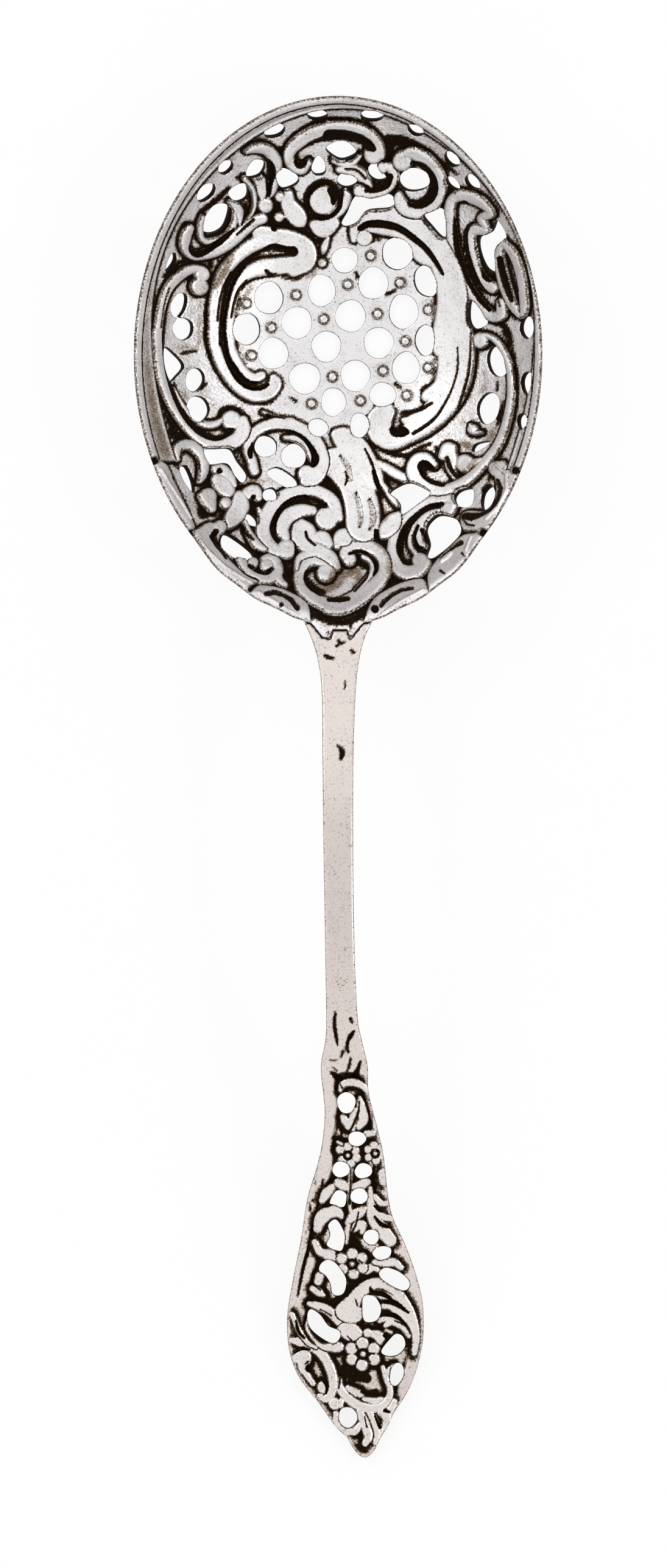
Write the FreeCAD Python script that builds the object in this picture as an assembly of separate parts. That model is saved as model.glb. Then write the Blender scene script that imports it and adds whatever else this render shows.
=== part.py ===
import FreeCAD, Part
import math
import os

from FreeCAD import Vector

# Whole spoon, millimetres. The bowl lies towards +Y, its hollow opens towards +Z.
overall_length = 224.0

# Bowl.
bowl_length = 85.0
bowl_width = 67.0
bowl_depth = 17.0
bowl_wall = 1.0
bowl_flat_radius = 10.0
heel_curl_radius = 4.0
heel_lip_length = 7.0
heel_slope = 12.0

# Ornament laid on the bowl.
relief_height = 0.7
boss_height = 0.5
groove_depth = 0.4
scroll_width = 3.0
groove_width = 1.2
boss_radius = 1.0
rim_band_left = 2.8
rim_band_right = 1.2
rim_band_tip = 1.4

# Handle: flat stem, pierced end plate, arched side view.
stem_width = 5.0
stem_thickness = 1.9
end_width = 23.0
end_length = 67.0
end_offset = 3.0
lap_length = 4.0

# Reach of cutting bodies past the metal they cut.
overrun = 4.0
clear_height = 40.0

# Flat facets: of the bowl, of the round outlines, of the holes, and the step along curves.
bowl_sectors = 28
bowl_arc_steps = 4
heel_curl_steps = 2
outline_sides = 60
hole_sides = 10
knob_sides = 8
curve_step = 2.7
arch_step = 5.0

half_width = bowl_width / 2
half_length = bowl_length / 2
bowl_y = overall_length / 2 - half_length
end_y = end_length / 2 - overall_length / 2
bowl_squeeze = half_width / half_length

arc_span = half_length - bowl_flat_radius
arc_radius = (arc_span ** 2 + bowl_depth ** 2) / (2 * bowl_depth)
edge_angle = math.asin(arc_span / arc_radius)
heel_angle = math.radians(heel_slope)
shoulder_share = 1.021
shoulder_y = bowl_y - shoulder_share * half_length
crumb_share = 0.02
groove_share = 0.4
groove_least_points = 4
full_turn = 2 * math.pi

# Bowl outline past the ellipse, where it flares into the handle (share of half width, of half length).
flare_shares = [(0.712, -0.7022), (0.6, -0.822), (0.49, -0.892), (0.4, -0.944), (0.3, -0.981), (0.225, -1.012)]
shoulder_point_share = (0.172, -1.026)
tongue_shares = [(0.12, -1.036), (0.085, -1.07), (0.06, -1.094), (0.044, -1.06),
                 (-0.03, -1.06), (-0.04, -1.094), (-0.075, -1.09), (-0.13, -1.036)]

# Round holes of the lattice: place, half axes, lean in degrees.
lattice_hole_shares = [
    (0.032, 0.377, 0.064, 0.049, 0), (0.2915, 0.402, 0.0765, 0.062, 0), (-0.081, 0.26, 0.0665, 0.062, 0),
    (0.173, 0.288, 0.073, 0.062, 0), (0.061, 0.161, 0.075, 0.062, 0), (-0.203, 0.135, 0.075, 0.062, 0),
    (-0.058, 0.043, 0.072, 0.06, 0), (0.2, 0.057, 0.073, 0.06, 0), (0.321, 0.178, 0.071, 0.067, 0),
    (-0.319, 0.016, 0.074, 0.061, 0), (-0.34, 0.2305, 0.0705, 0.062, 0), (-0.452, 0.109, 0.07, 0.06, 0),
    (-0.164, -0.081, 0.077, 0.06, 0), (0.085, -0.071, 0.072, 0.061, 0), (-0.023, -0.173, 0.061, 0.055, 0),
    (0.219, -0.144, 0.0655, 0.0465, 0), (0.3335, -0.041, 0.0675, 0.062, 0), (0.43, 0.293, 0.055, 0.062, 20),
    (0.4285, 0.066, 0.05, 0.06, 0), (-0.098, -0.272, 0.05, 0.034, -20), (0.105, -0.263, 0.046, 0.048, 0),
]

# Oval holes of the rim row and between the scrolls, same terms.
oval_hole_shares = [
    (-0.101, 0.928, 0.049, 0.02, 0), (0.166, 0.9265, 0.056, 0.024, 0), (-0.31, 0.867, 0.053, 0.024, 20),
    (0.381, 0.8725, 0.043, 0.0235, -25), (0.557, 0.757, 0.045, 0.022, -45), (0.658, 0.668, 0.045, 0.022, -48),
    (0.562, 0.666, 0.042, 0.018, -45), (-0.55, 0.727, 0.04, 0.023, 40), (-0.646, 0.63, 0.055, 0.025, 45),
    (0.924, 0.108, 0.033, 0.043, 0), (0.926, -0.107, 0.03, 0.045, 0), (0.906, -0.255, 0.03, 0.033, 0),
    (0.044, 0.683, 0.05, 0.0275, 0), (0.373, 0.682, 0.076, 0.044, 0), (0.78, -0.022, 0.046, 0.06, 15),
    (-0.78, 0.198, 0.036, 0.05, -20), (-0.76, 0.1065, 0.05, 0.042, 0), (-0.7025, -0.089, 0.045, 0.046, -15),
    (-0.688, -0.203, 0.056, 0.051, 0), (-0.355, -0.345, 0.055, 0.042, 0), (-0.2185, -0.382, 0.061, 0.048, 0),
    (-0.333, -0.534, 0.036, 0.028, 0), (0.737, -0.2, 0.053, 0.062, -12),
]

# Free-form holes: points of each outline in shares of half width and half length.
free_hole_shares = [
    [(-0.45, 0.7), (-0.44, 0.73), (-0.41, 0.757), (-0.37, 0.755), (-0.357, 0.735), (-0.38, 0.7), (-0.43, 0.688)],
    [(-0.538, 0.63), (-0.5, 0.66), (-0.455, 0.667), (-0.44, 0.64), (-0.45, 0.61), (-0.5, 0.597)],
    [(-0.665, 0.49), (-0.655, 0.53), (-0.61, 0.58), (-0.56, 0.59), (-0.531, 0.57), (-0.56, 0.5), (-0.62, 0.475)],
    [(-0.305, 0.69), (-0.3, 0.72), (-0.26, 0.727), (-0.2, 0.7), (-0.2, 0.67), (-0.27, 0.649)],
    [(-0.13, 0.73), (-0.1, 0.777), (-0.065, 0.75), (-0.065, 0.71), (-0.11, 0.703)],
    [(-0.06, 0.8), (-0.02, 0.826), (0.04, 0.829), (0.09, 0.79), (0.05, 0.765), (0, 0.762)],
    [(0.148, 0.73), (0.18, 0.75), (0.21, 0.72), (0.236, 0.69), (0.19, 0.68), (0.152, 0.7)],
    [(0.088, 0.623), (0.165, 0.617), (0.251, 0.629), (0.279, 0.6), (0.25, 0.575), (0.142, 0.565), (0.09, 0.52),
     (0.0375, 0.505), (0.017, 0.52), (0.045, 0.56)],
    [(0.418, 0.545), (0.47, 0.565), (0.51, 0.572), (0.534, 0.535), (0.532, 0.47), (0.505, 0.462), (0.454, 0.505)],
    [(0.776, 0.522), (0.823, 0.458), (0.78, 0.42), (0.778, 0.33), (0.727, 0.337), (0.69, 0.4), (0.689, 0.455),
     (0.745, 0.475)],
    [(0.649, 0.218), (0.69, 0.2015), (0.724, 0.1585), (0.73, 0.125), (0.671, 0.108), (0.641, 0.145)],
    [(0.656, -0.362), (0.675, -0.337), (0.737, -0.328), (0.738, -0.34), (0.7, -0.36), (0.67, -0.37)],
    [(0.253, -0.527), (0.3, -0.497), (0.3565, -0.4855), (0.428, -0.511), (0.458, -0.5345), (0.395, -0.577),
     (0.33, -0.612), (0.306, -0.6), (0.3, -0.56)],
    [(0.596, -0.517), (0.655, -0.51), (0.664, -0.55), (0.645, -0.582), (0.589, -0.579), (0.568, -0.545)],
    [(0.71, -0.525), (0.745, -0.5), (0.768, -0.53), (0.75, -0.575), (0.715, -0.597), (0.7, -0.57)],
    [(0.5, -0.61), (0.575, -0.628), (0.601, -0.68), (0.55, -0.73), (0.493, -0.767), (0.455, -0.783),
     (0.43, -0.765), (0.446, -0.72), (0.431, -0.665), (0.455, -0.63)],
    [(-0.848, 0.034), (-0.8, 0.01), (-0.755, -0.035), (-0.784, -0.072), (-0.822, -0.095), (-0.85, -0.03)],
    [(-0.665, -0.362), (-0.59, -0.354), (-0.525, -0.356), (-0.49, -0.4), (-0.443, -0.455), (-0.47, -0.487),
     (-0.505, -0.46), (-0.545, -0.413), (-0.64, -0.415)],
    [(-0.775, -0.435), (-0.74, -0.425), (-0.705, -0.49), (-0.709, -0.53), (-0.754, -0.484)],
    [(-0.35, -0.447), (-0.3, -0.426), (-0.22, -0.462), (-0.2, -0.495), (-0.247, -0.506), (-0.32, -0.475)],
    [(-0.43, -0.603), (-0.4, -0.625), (-0.396, -0.65), (-0.415, -0.657), (-0.452, -0.64), (-0.452, -0.612)],
    [(-0.55, -0.684), (-0.49, -0.708), (-0.419, -0.755), (-0.419, -0.782), (-0.48, -0.79), (-0.55, -0.757),
     (-0.574, -0.72)],
    [(-0.845, 0.33), (-0.825, 0.381), (-0.8, 0.398), (-0.793, 0.37), (-0.82, 0.335)],
]

# Ring bosses among the lattice holes.
boss_shares = [
    (0.162, 0.396), (0.048, 0.283), (-0.207, 0.243), (0.307, 0.291), (0.448, 0.185), (0.195, 0.169),
    (-0.07, 0.149), (-0.329, 0.116), (0.333, 0.063), (-0.028, -0.075), (0.222, -0.052), (0.11, -0.168),
    (-0.13, -0.18), (0.447, -0.04), (0.34, -0.148), (-0.454, 0.21), (-0.428, 0.007),
]

# Scrolls and leaves of the bowl. A stroke's points are u, v and a share of the scroll width.
# A knob is u, v and its radius as a share of half width. Later pieces butt against earlier ones.
bowl_piece_shares = {
    "tip_scroll": {
        "strokes": [[(-0.165, 0.74, 0.5), (-0.21, 0.765, 0.9), (-0.16, 0.825, 1), (-0.07, 0.86, 1),
                     (0.02, 0.868, 1), (0.11, 0.86, 0.9), (0.18, 0.83, 0.6)]],
        "knobs": [(0.175, 0.788, 0.055)],
    },
    "top_right_scroll": {
        "strokes": [[(0.35, 0.79, 0.6), (0.43, 0.755, 0.9), (0.5, 0.69, 1), (0.5, 0.625, 1),
                     (0.42, 0.58, 0.9), (0.32, 0.585, 0.6)]],
        "knobs": [(0.325, 0.775, 0.055)],
    },
    "top_small_curl": {
        "strokes": [[(0.2, 0.765, 0.5), (0.26, 0.745, 0.5), (0.285, 0.69, 0.5), (0.22, 0.645, 0.6),
                     (0.12, 0.64, 0.5)]],
        "knobs": [],
    },
    "upper_left_scroll": {
        "strokes": [[(-0.43, 0.79, 0.4), (-0.35, 0.785, 0.6), (-0.335, 0.7, 0.8), (-0.36, 0.64, 0.8),
                     (-0.44, 0.56, 0.9), (-0.54, 0.44, 0.9), (-0.64, 0.41, 0.8), (-0.72, 0.44, 0.5)]],
        "knobs": [(-0.37, 0.6, 0.05)],
    },
    "left_rim_scroll": {
        "strokes": [[(-0.72, 0.33, 0.6), (-0.79, 0.31, 0.7), (-0.86, 0.2, 0.8), (-0.885, 0.06, 0.9),
                     (-0.86, -0.09, 0.9), (-0.79, -0.21, 0.9), (-0.69, -0.3, 1), (-0.58, -0.325, 0.9),
                     (-0.5, -0.28, 0.8)]],
        "knobs": [(-0.694, 0.295, 0.06), (-0.51, -0.235, 0.05)],
    },
    "left_main_scroll": {
        "strokes": [[(-0.23, 0.41, 1.4), (-0.37, 0.405, 1.4), (-0.49, 0.33, 1.4), (-0.565, 0.2, 1.5),
                     (-0.575, 0.08, 1.4), (-0.54, -0.02, 1.2), (-0.47, -0.09, 1), (-0.36, -0.11, 0.8)]],
        "knobs": [(-0.19, 0.375, 0.1), (-0.31, -0.085, 0.05)],
    },
    "right_main_scroll": {
        "strokes": [[(0.11, 0.5, 0.4), (0.2, 0.535, 0.8), (0.33, 0.515, 1), (0.46, 0.43, 1.3),
                     (0.555, 0.28, 1.4), (0.59, 0.1, 1.4), (0.565, -0.08, 1.5), (0.48, -0.22, 1.4),
                     (0.36, -0.3, 1.2), (0.24, -0.31, 0.7), (0.185, -0.26, 0.7)]],
        "knobs": [(0.135, 0.47, 0.045), (0.325, -0.238, 0.05)],
    },
    "right_upper_scroll": {
        "strokes": [[(0.63, 0.62, 0.8), (0.58, 0.55, 0.9), (0.585, 0.42, 1), (0.63, 0.3, 1),
                     (0.7, 0.2, 0.9), (0.77, 0.13, 0.6)],
                    [(0.63, 0.62, 0.5), (0.635, 0.53, 0.5), (0.632, 0.42, 0.5), (0.66, 0.27, 0.5)]],
        "knobs": [(0.8, 0.165, 0.045)],
    },
    "right_rim_leaf": {
        "strokes": [[(0.79, 0.52, 0.3), (0.825, 0.4, 0.6), (0.83, 0.28, 0.7), (0.87, 0.17, 0.4)]],
        "knobs": [],
    },
    "right_long_scroll": {
        "strokes": [[(0.7, 0.055, 0.5), (0.75, 0.08, 0.5), (0.81, 0.05, 0.5), (0.845, -0.07, 0.5),
                     (0.825, -0.23, 0.5), (0.76, -0.36, 0.5), (0.67, -0.465, 0.5), (0.55, -0.515, 0.6),
                     (0.44, -0.49, 0.7), (0.385, -0.42, 0.7), (0.42, -0.375, 0.8), (0.49, -0.4, 0.5)],
                    [(0.55, -0.47, 0.5), (0.53, -0.41, 0.8), (0.55, -0.35, 0.5)],
                    [(0.66, -0.44, 0.6), (0.62, -0.42, 0.9), (0.6, -0.4, 0.6)]],
        "knobs": [],
    },
    "centre_bud": {
        "strokes": [[(-0.2, 0.6, 0.6), (-0.16, 0.55, 1), (-0.08, 0.515, 1.1), (0, 0.535, 0.8)]],
        "knobs": [(-0.07, 0.615, 0.085), (-0.29, 0.57, 0.035)],
    },
    "left_lower_curl": {
        "strokes": [[(-0.81, -0.38, 0.4), (-0.76, -0.35, 0.5), (-0.705, -0.385, 0.5), (-0.66, -0.44, 0.5),
                     (-0.665, -0.49, 0.5)]],
        "knobs": [],
    },
    "lower_left_flower": {
        "strokes": [],
        "knobs": [(-0.558, -0.571, 0.075), (-0.64, -0.55, 0.05), (-0.59, -0.62, 0.045), (-0.525, -0.635, 0.055),
                  (-0.475, -0.585, 0.05), (-0.5, -0.525, 0.045), (-0.58, -0.51, 0.05)],
    },
    "centre_left_scroll": {
        "strokes": [[(-0.43, -0.41, 0.5), (-0.42, -0.33, 0.6), (-0.35, -0.275, 0.7), (-0.24, -0.265, 0.9),
                     (-0.14, -0.3, 1), (-0.08, -0.38, 1), (-0.1, -0.45, 0.8)]],
        "knobs": [(-0.155, -0.46, 0.055)],
    },
    "plume": {
        "strokes": [[(0, -0.3, 1.1), (0.06, -0.38, 1.5), (0.11, -0.49, 1.6), (0.14, -0.6, 1.8),
                     (0.17, -0.68, 1.6)],
                    [(0.15, -0.4, 0.5), (0.22, -0.47, 0.6), (0.27, -0.56, 0.5), (0.29, -0.66, 0.5)],
                    [(0.01, -0.4, 0.6), (0.04, -0.5, 0.5), (0.035, -0.57, 0.3)]],
        "knobs": [],
    },
    "lower_mid_scroll": {
        "strokes": [[(-0.02, -0.575, 0.7), (-0.08, -0.55, 0.9), (-0.17, -0.565, 1.6), (-0.26, -0.605, 1.7),
                     (-0.31, -0.665, 1.4), (-0.31, -0.73, 1)]],
        "knobs": [(-0.052, -0.622, 0.056), (-0.26, -0.758, 0.05)],
    },
    "heel_leaf_scroll": {
        "strokes": [[(-0.165, -0.655, 0.5), (-0.185, -0.7, 0.6), (-0.13, -0.735, 1), (-0.05, -0.745, 1.1),
                     (0, -0.79, 0.5)]],
        "knobs": [(0.03, -0.7, 0.045)],
    },
    "heel_cartouche": {
        "strokes": [[(-0.05, -0.79, 0.5), (-0.12, -0.8, 0.6), (-0.185, -0.86, 0.6), (-0.14, -0.935, 0.6),
                     (0, -0.975, 0.7), (0.13, -0.935, 0.7), (0.215, -0.855, 0.6), (0.2, -0.775, 0.6),
                     (0.11, -0.745, 0.6), (0.04, -0.76, 0.5)]],
        "knobs": [(-0.05, -0.825, 0.045), (0.04, -0.785, 0.035)],
    },
    "right_lower_scroll": {
        "strokes": [[(0.56, -0.565, 0.6), (0.49, -0.56, 0.9), (0.4, -0.61, 1.1), (0.335, -0.675, 1.5),
                     (0.32, -0.76, 1.5), (0.35, -0.81, 1), (0.42, -0.82, 0.7)]],
        "knobs": [(0.54, -0.592, 0.045), (0.4, -0.785, 0.045)],
    },
    "left_small_scroll": {
        "strokes": [[(-0.53, -0.785, 0.4), (-0.46, -0.835, 0.5), (-0.38, -0.865, 0.5), (-0.31, -0.845, 0.5),
                     (-0.305, -0.79, 0.5)]],
        "knobs": [(-0.355, -0.81, 0.035)],
    },
}

# Border strips: the inner side of each; the outer side is the bowl outline.
border_shares = {
    "border_left_upper": [(-0.93, -0.42), (-0.85, -0.42), (-0.8, -0.5), (-0.74, -0.6), (-0.705, -0.67),
                          (-0.735, -0.68), (-0.8, -0.72), (-0.98, -0.6)],
    "border_left_lower": [(-0.735, -0.71), (-0.69, -0.67), (-0.63, -0.645), (-0.575, -0.675), (-0.59, -0.735),
                          (-0.55, -0.78), (-0.46, -0.85), (-0.39, -0.88), (-0.44, -0.905), (-0.5, -1), (-0.8, -0.9)],
    "border_left_heel": [(-0.43, -0.92), (-0.39, -0.893), (-0.3, -0.9), (-0.22, -0.925), (-0.15, -0.965),
                         (-0.135, -1.03), (-0.172, -1.026), (-0.3, -1.1), (-0.5, -1)],
    "border_right_upper": [(0.96, -0.46), (0.85, -0.43), (0.81, -0.405), (0.77, -0.45), (0.78, -0.52),
                           (0.75, -0.6), (0.65, -0.6), (0.605, -0.62), (0.62, -0.68), (0.69, -0.685),
                           (0.74, -0.7), (0.98, -0.6)],
    "border_right_lower": [(0.72, -0.705), (0.67, -0.69), (0.61, -0.7), (0.55, -0.745), (0.48, -0.8),
                           (0.44, -0.86), (0.455, -0.93), (0.5, -1), (0.9, -0.9)],
    "border_right_heel": [(0.45, -0.93), (0.425, -0.87), (0.34, -0.875), (0.25, -0.905), (0.17, -0.95),
                          (0.13, -1.02), (0.13, -1.034), (0.172, -1.026), (0.3, -1.1), (0.5, -1)],
}

# Notches of the rim, where the band and the strips stop short of each other.
notch_shares = [(-0.905, -0.41), (0.875, -0.448), (-0.73, -0.695), (0.715, -0.69)]

# Stem: distance from the shoulders, left edge and right edge.
stem_shares = [
    (0, -1.16, 1.16), (0.039, -0.88, 0.87), (0.09, -0.65, 0.68), (0.16, -0.53, 0.57), (0.3, -0.51, 0.5),
    (0.5, -0.47, 0.495), (0.7, -0.42, 0.54), (0.84, -0.39, 0.64), (0.89, -0.42, 0.78), (0.945, -0.565, 0.97),
    (1, -0.49, 1.0),
]

# End plate outline, in shares of its half width and half length, left side then right side.
end_left_shares = [
    (-0.45, 0.7), (-0.49, 0.55), (-0.57, 0.43), (-0.7, 0.28), (-0.79, 0.08), (-0.9, -0.11), (-0.99, -0.31),
    (-0.955, -0.48), (-0.81, -0.61), (-0.55, -0.725), (-0.3, -0.845), (-0.13, -0.9),
]
end_tip_shares = [(-0.06, -0.945), (0.03, -0.985), (0.14, -1), (0.26, -0.965), (0.345, -0.905)]
end_right_shares = [
    (0.44, -0.855), (0.55, -0.775), (0.72, -0.685), (0.86, -0.57), (0.955, -0.42), (0.955, -0.25),
    (0.87, -0.115), (0.72, 0.035), (0.52, 0.19), (0.445, 0.32), (0.39, 0.49), (0.3, 0.63),
]

# Sunk ground of the end plate.
end_ground_shares = [
    (-0.3, 0.88), (-0.28, 0.72), (-0.33, 0.58), (-0.35, 0.44), (-0.45, 0.3), (-0.5, 0.14), (-0.6, -0.05),
    (-0.72, -0.22), (-0.74, -0.42), (-0.62, -0.6), (-0.4, -0.7), (-0.22, -0.8), (-0.02, -0.9), (0.15, -0.93),
    (0.3, -0.86), (0.5, -0.72), (0.68, -0.58), (0.78, -0.4), (0.76, -0.24), (0.64, -0.1), (0.5, 0.06),
    (0.34, 0.2), (0.27, 0.36), (0.24, 0.52), (0.2, 0.66), (0.1, 0.8), (-0.04, 0.9),
]

end_oval_shares = [
    (-0.143, 0.755, 0.13, 0.052, 0), (0.01, 0.577, 0.126, 0.036, 0), (-0.22, 0.425, 0.122, 0.039, 0),
    (0.1, 0.418, 0.125, 0.037, 15), (0.04, 0.293, 0.122, 0.039, 0), (0.213, 0.09, 0.11, 0.0375, 0),
    (0.37, 0.012, 0.135, 0.033, 10), (0.58, -0.59, 0.095, 0.058, -12), (-0.12, -0.803, 0.13, 0.051, 12),
]

end_free_shares = [
    [(-0.38, 0.262), (-0.28, 0.32), (-0.15, 0.305), (-0.16, 0.25), (-0.22, 0.238), (-0.3, 0.25)],
    [(-0.4, 0.15), (-0.3, 0.178), (-0.21, 0.14), (-0.165, 0.09), (-0.2, 0.03), (-0.27, 0.023), (-0.42, 0.05),
     (-0.37, 0.1)],
    [(-0.53, -0.075), (-0.5, -0.04), (-0.4, -0.023), (-0.28, -0.045), (-0.15, -0.115), (-0.17, -0.18),
     (-0.25, -0.2), (-0.34, -0.19), (-0.37, -0.14), (-0.44, -0.1)],
    [(0.33, -0.085), (0.42, -0.062), (0.6, -0.08), (0.74, -0.12), (0.76, -0.155), (0.68, -0.175), (0.5, -0.15),
     (0.36, -0.115)],
    [(-0.7, -0.3), (-0.65, -0.268), (-0.52, -0.295), (-0.4, -0.35), (-0.25, -0.375), (-0.235, -0.41),
     (-0.33, -0.437), (-0.5, -0.41), (-0.66, -0.36)],
    [(0.1, -0.21), (0.22, -0.2), (0.3, -0.22), (0.355, -0.27), (0.3, -0.32), (0.17, -0.333), (0.1, -0.31)],
    [(0.36, -0.475), (0.5, -0.41), (0.58, -0.39), (0.67, -0.405), (0.7, -0.45), (0.6, -0.492), (0.45, -0.5)],
]

# Ornament standing on the sunk ground of the end plate.
end_piece_shares = {
    "end_leaf_sprig": {
        "strokes": [[(-0.02, 0.63, 0.9), (0.03, 0.7, 1), (0.04, 0.77, 0.6)],
                    [(-0.14, 0.61, 0.7), (-0.16, 0.665, 0.9)]],
        "knobs": [],
    },
    "end_stalk": {
        "strokes": [[(-0.09, 0.4, 0.4), (-0.1, 0.3, 0.4), (-0.1, 0.23, 0.4), (-0.02, 0.2, 0.9),
                     (-0.04, 0.13, 1.1), (-0.03, 0.1, 0.8)],
                    [(-0.34, 0.23, 0.8), (-0.22, 0.205, 0.8)],
                    [(0.08, 0.36, 0.6), (-0.02, 0.35, 0.6)],
                    [(-0.26, 0.345, 0.6), (-0.16, 0.34, 0.6)]],
        "knobs": [],
    },
    "end_flowers": {
        "strokes": [],
        "knobs": [(-0.13, 0.5, 0.16), (0.22, 0.5, 0.13), (-0.06, -0.04, 0.2), (0.1, -0.49, 0.22)],
    },
    "end_right_scroll": {
        "strokes": [[(0.02, -0.29, 0.6), (0, -0.2, 0.8), (0.14, -0.165, 0.9), (0.33, -0.15, 1),
                     (0.52, -0.2, 1.1), (0.68, -0.29, 1), (0.72, -0.4, 0.8)],
                    [(0.4, -0.25, 0.6), (0.55, -0.26, 0.6), (0.65, -0.33, 0.4)],
                    [(0.46, -0.335, 0.7), (0.58, -0.345, 0.6)]],
        "knobs": [(0.36, -0.405, 0.11), (0.17, -0.37, 0.07)],
    },
    "end_left_scroll": {
        "strokes": [[(-0.64, -0.235, 0.6), (-0.48, -0.26, 0.8), (-0.3, -0.31, 0.9), (-0.16, -0.27, 1.1)],
                    [(-0.56, -0.17, 0.7), (-0.45, -0.19, 0.5)]],
        "knobs": [(-0.1, -0.385, 0.13), (-0.28, -0.455, 0.09)],
    },
    "end_lower_scroll": {
        "strokes": [[(-0.6, -0.5, 0.8), (-0.45, -0.53, 0.7), (-0.33, -0.6, 0.6), (-0.34, -0.67, 0.6),
                     (-0.45, -0.7, 0.6)],
                    [(-0.24, -0.64, 0.7), (-0.15, -0.715, 1), (0.05, -0.765, 1.2), (0.3, -0.745, 1),
                     (0.44, -0.66, 0.8), (0.4, -0.56, 0.6), (0.34, -0.52, 0.4)],
                    [(0.05, -0.77, 0.8), (0.16, -0.83, 0.9), (0.22, -0.885, 0.6)]],
        "knobs": [(-0.48, -0.655, 0.11), (-0.3, -0.71, 0.12)],
    },
}

# Handle in side view: distance from the shoulders as a share of the handle, height of its underside as a share
# of the heel's height.
arch_shares = [
    (-0.08, 0.82), (0, 0.951), (0.06, 1.027), (0.19, 1.172), (0.276, 1.2), (0.4, 1.135), (0.545, 0.868),
    (0.69, 0.493), (0.82, 0.171), (0.903, 0.034), (0.951, 0), (1.006, 0),
]

# The handle runs on under the heel to these shares of the stem width.
lap_shares = (0.7, -0.7)
stem_foot_share = 0.053


def bowl_point(u, v):
    return Vector(u * half_width, bowl_y + v * half_length, 0)


def end_point(s, t):
    return Vector(end_offset + s * end_width / 2, end_y + t * end_length / 2, 0)


def flat_face(points):
    return Part.Face(Part.makePolygon(points + points[:1]))


def upright(points):
    """A tall prism over a plan outline, which the layers of metal are trimmed with."""
    face = flat_face(points)
    face.translate(Vector(0, 0, -overrun))
    return face.extrude(Vector(0, 0, clear_height + overrun))


def smooth_points(points, step, closed=False):
    """Points at even steps along a smooth curve through the given ones."""
    curve = Part.BSplineCurve()
    curve.interpolate(Points=points, PeriodicFlag=closed)
    count = max(len(points), round(curve.length() / step)) + 1
    sampled = curve.discretize(Number=count)
    return sampled[:-1] if closed else sampled


def oval_points(centre, half_x, half_y, lean, sides):
    """Corners of a leaning ellipse."""
    turn = math.radians(lean)
    points = []
    for side in range(sides):
        angle = side * full_turn / sides
        x = half_x * math.cos(angle)
        y = half_y * math.sin(angle)
        points.append(centre + Vector(x * math.cos(turn) - y * math.sin(turn),
                                      x * math.sin(turn) + y * math.cos(turn), 0))
    return points


def stroke_points(stroke):
    """Outline of a scroll: both sides of a smooth centre line, whose z is the width there."""
    spine = smooth_points(stroke, curve_step)
    lefts = []
    rights = []
    for behind, point, ahead in zip(spine[:1] + spine, spine, spine[1:] + spine[-1:]):
        direction = Vector(ahead.x - behind.x, ahead.y - behind.y, 0).normalize()
        reach = direction * (point.z / 2)
        middle = Vector(point.x, point.y, 0)
        side = Vector(-reach.y, reach.x, 0)
        if not lefts:
            first_tip = middle - reach
        last_tip = middle + reach
        lefts.append(middle + side)
        rights.append(middle - side)
    return [first_tip] + lefts + [last_tip] + rights[::-1]


def section_points(offset):
    """Half section of the bowl face raised by offset: flat, bowl arc, heel curl and lip."""
    centre = Vector(bowl_flat_radius, 0, bowl_wall + arc_radius)
    points = [Vector(0, 0, bowl_wall + offset)]
    reach = arc_radius - offset
    for step in range(bowl_arc_steps + 1):
        angle = edge_angle * step / bowl_arc_steps
        points.append(centre + Vector(reach * math.sin(angle), 0, -reach * math.cos(angle)))
    curl_reach = arc_radius + heel_curl_radius
    curl_centre = centre + Vector(curl_reach * math.sin(edge_angle), 0, -curl_reach * math.cos(edge_angle))
    reach = heel_curl_radius + offset
    for step in range(1, heel_curl_steps + 1):
        angle = edge_angle + (heel_angle - edge_angle) * step / heel_curl_steps
        points.append(curl_centre + Vector(-reach * math.sin(angle), 0, reach * math.cos(angle)))
    lip = Vector(math.cos(heel_angle), 0, math.sin(heel_angle)) * heel_lip_length
    return points + [points[-1] + lip]


def turned(profile):
    """A closed profile turned about the bowl's axis in flat facets, pressed to the bowl's width."""
    faces = []
    for sector in range(bowl_sectors):
        angles = (sector * full_turn / bowl_sectors, (sector + 1) * full_turn / bowl_sectors)
        for first, second in zip(profile, profile[1:] + profile[:1]):
            corners = []
            for point, angle in ((first, angles[0]), (first, angles[1]), (second, angles[1]), (second, angles[0])):
                corner = Vector(point.x * math.sin(angle) * bowl_squeeze,
                                bowl_y + point.x * math.cos(angle), point.z)
                if corner not in corners:
                    corners.append(corner)
            if len(corners) > 2:
                faces.append(flat_face(corners))
    return Part.Solid(Part.Shell(faces)).removeSplitter()


def bowl_layer(low, high):
    """Layer of metal between two offsets of the bowl face."""
    return turned(section_points(low) + section_points(high)[::-1])


def bowl_space(low):
    """Everything above an offset of the bowl face."""
    lower = section_points(low)
    return turned(lower + [Vector(lower[-1].x, 0, clear_height), Vector(0, 0, clear_height)])


def bowl_outline():
    """Plan of the bowl: ellipse over the tip, a flare each side, and the heel tongue."""
    flare = [bowl_point(u, v) for u, v in flare_shares + [shoulder_point_share]]
    start = math.atan2(flare_shares[0][1], flare_shares[0][0])
    sweep = math.pi - 2 * start
    ellipse = []
    for side in range(outline_sides + 1):
        angle = start + sweep * side / outline_sides
        ellipse.append(bowl_point(math.cos(angle), math.sin(angle)))
    flare[0] = ellipse[0]
    right = smooth_points(flare, curve_step)[1:]
    left = [Vector(-point.x, point.y, 0) for point in right]
    tongue = [bowl_point(u, v) for u, v in tongue_shares]
    return ellipse + left + tongue[::-1] + right[::-1]


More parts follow.
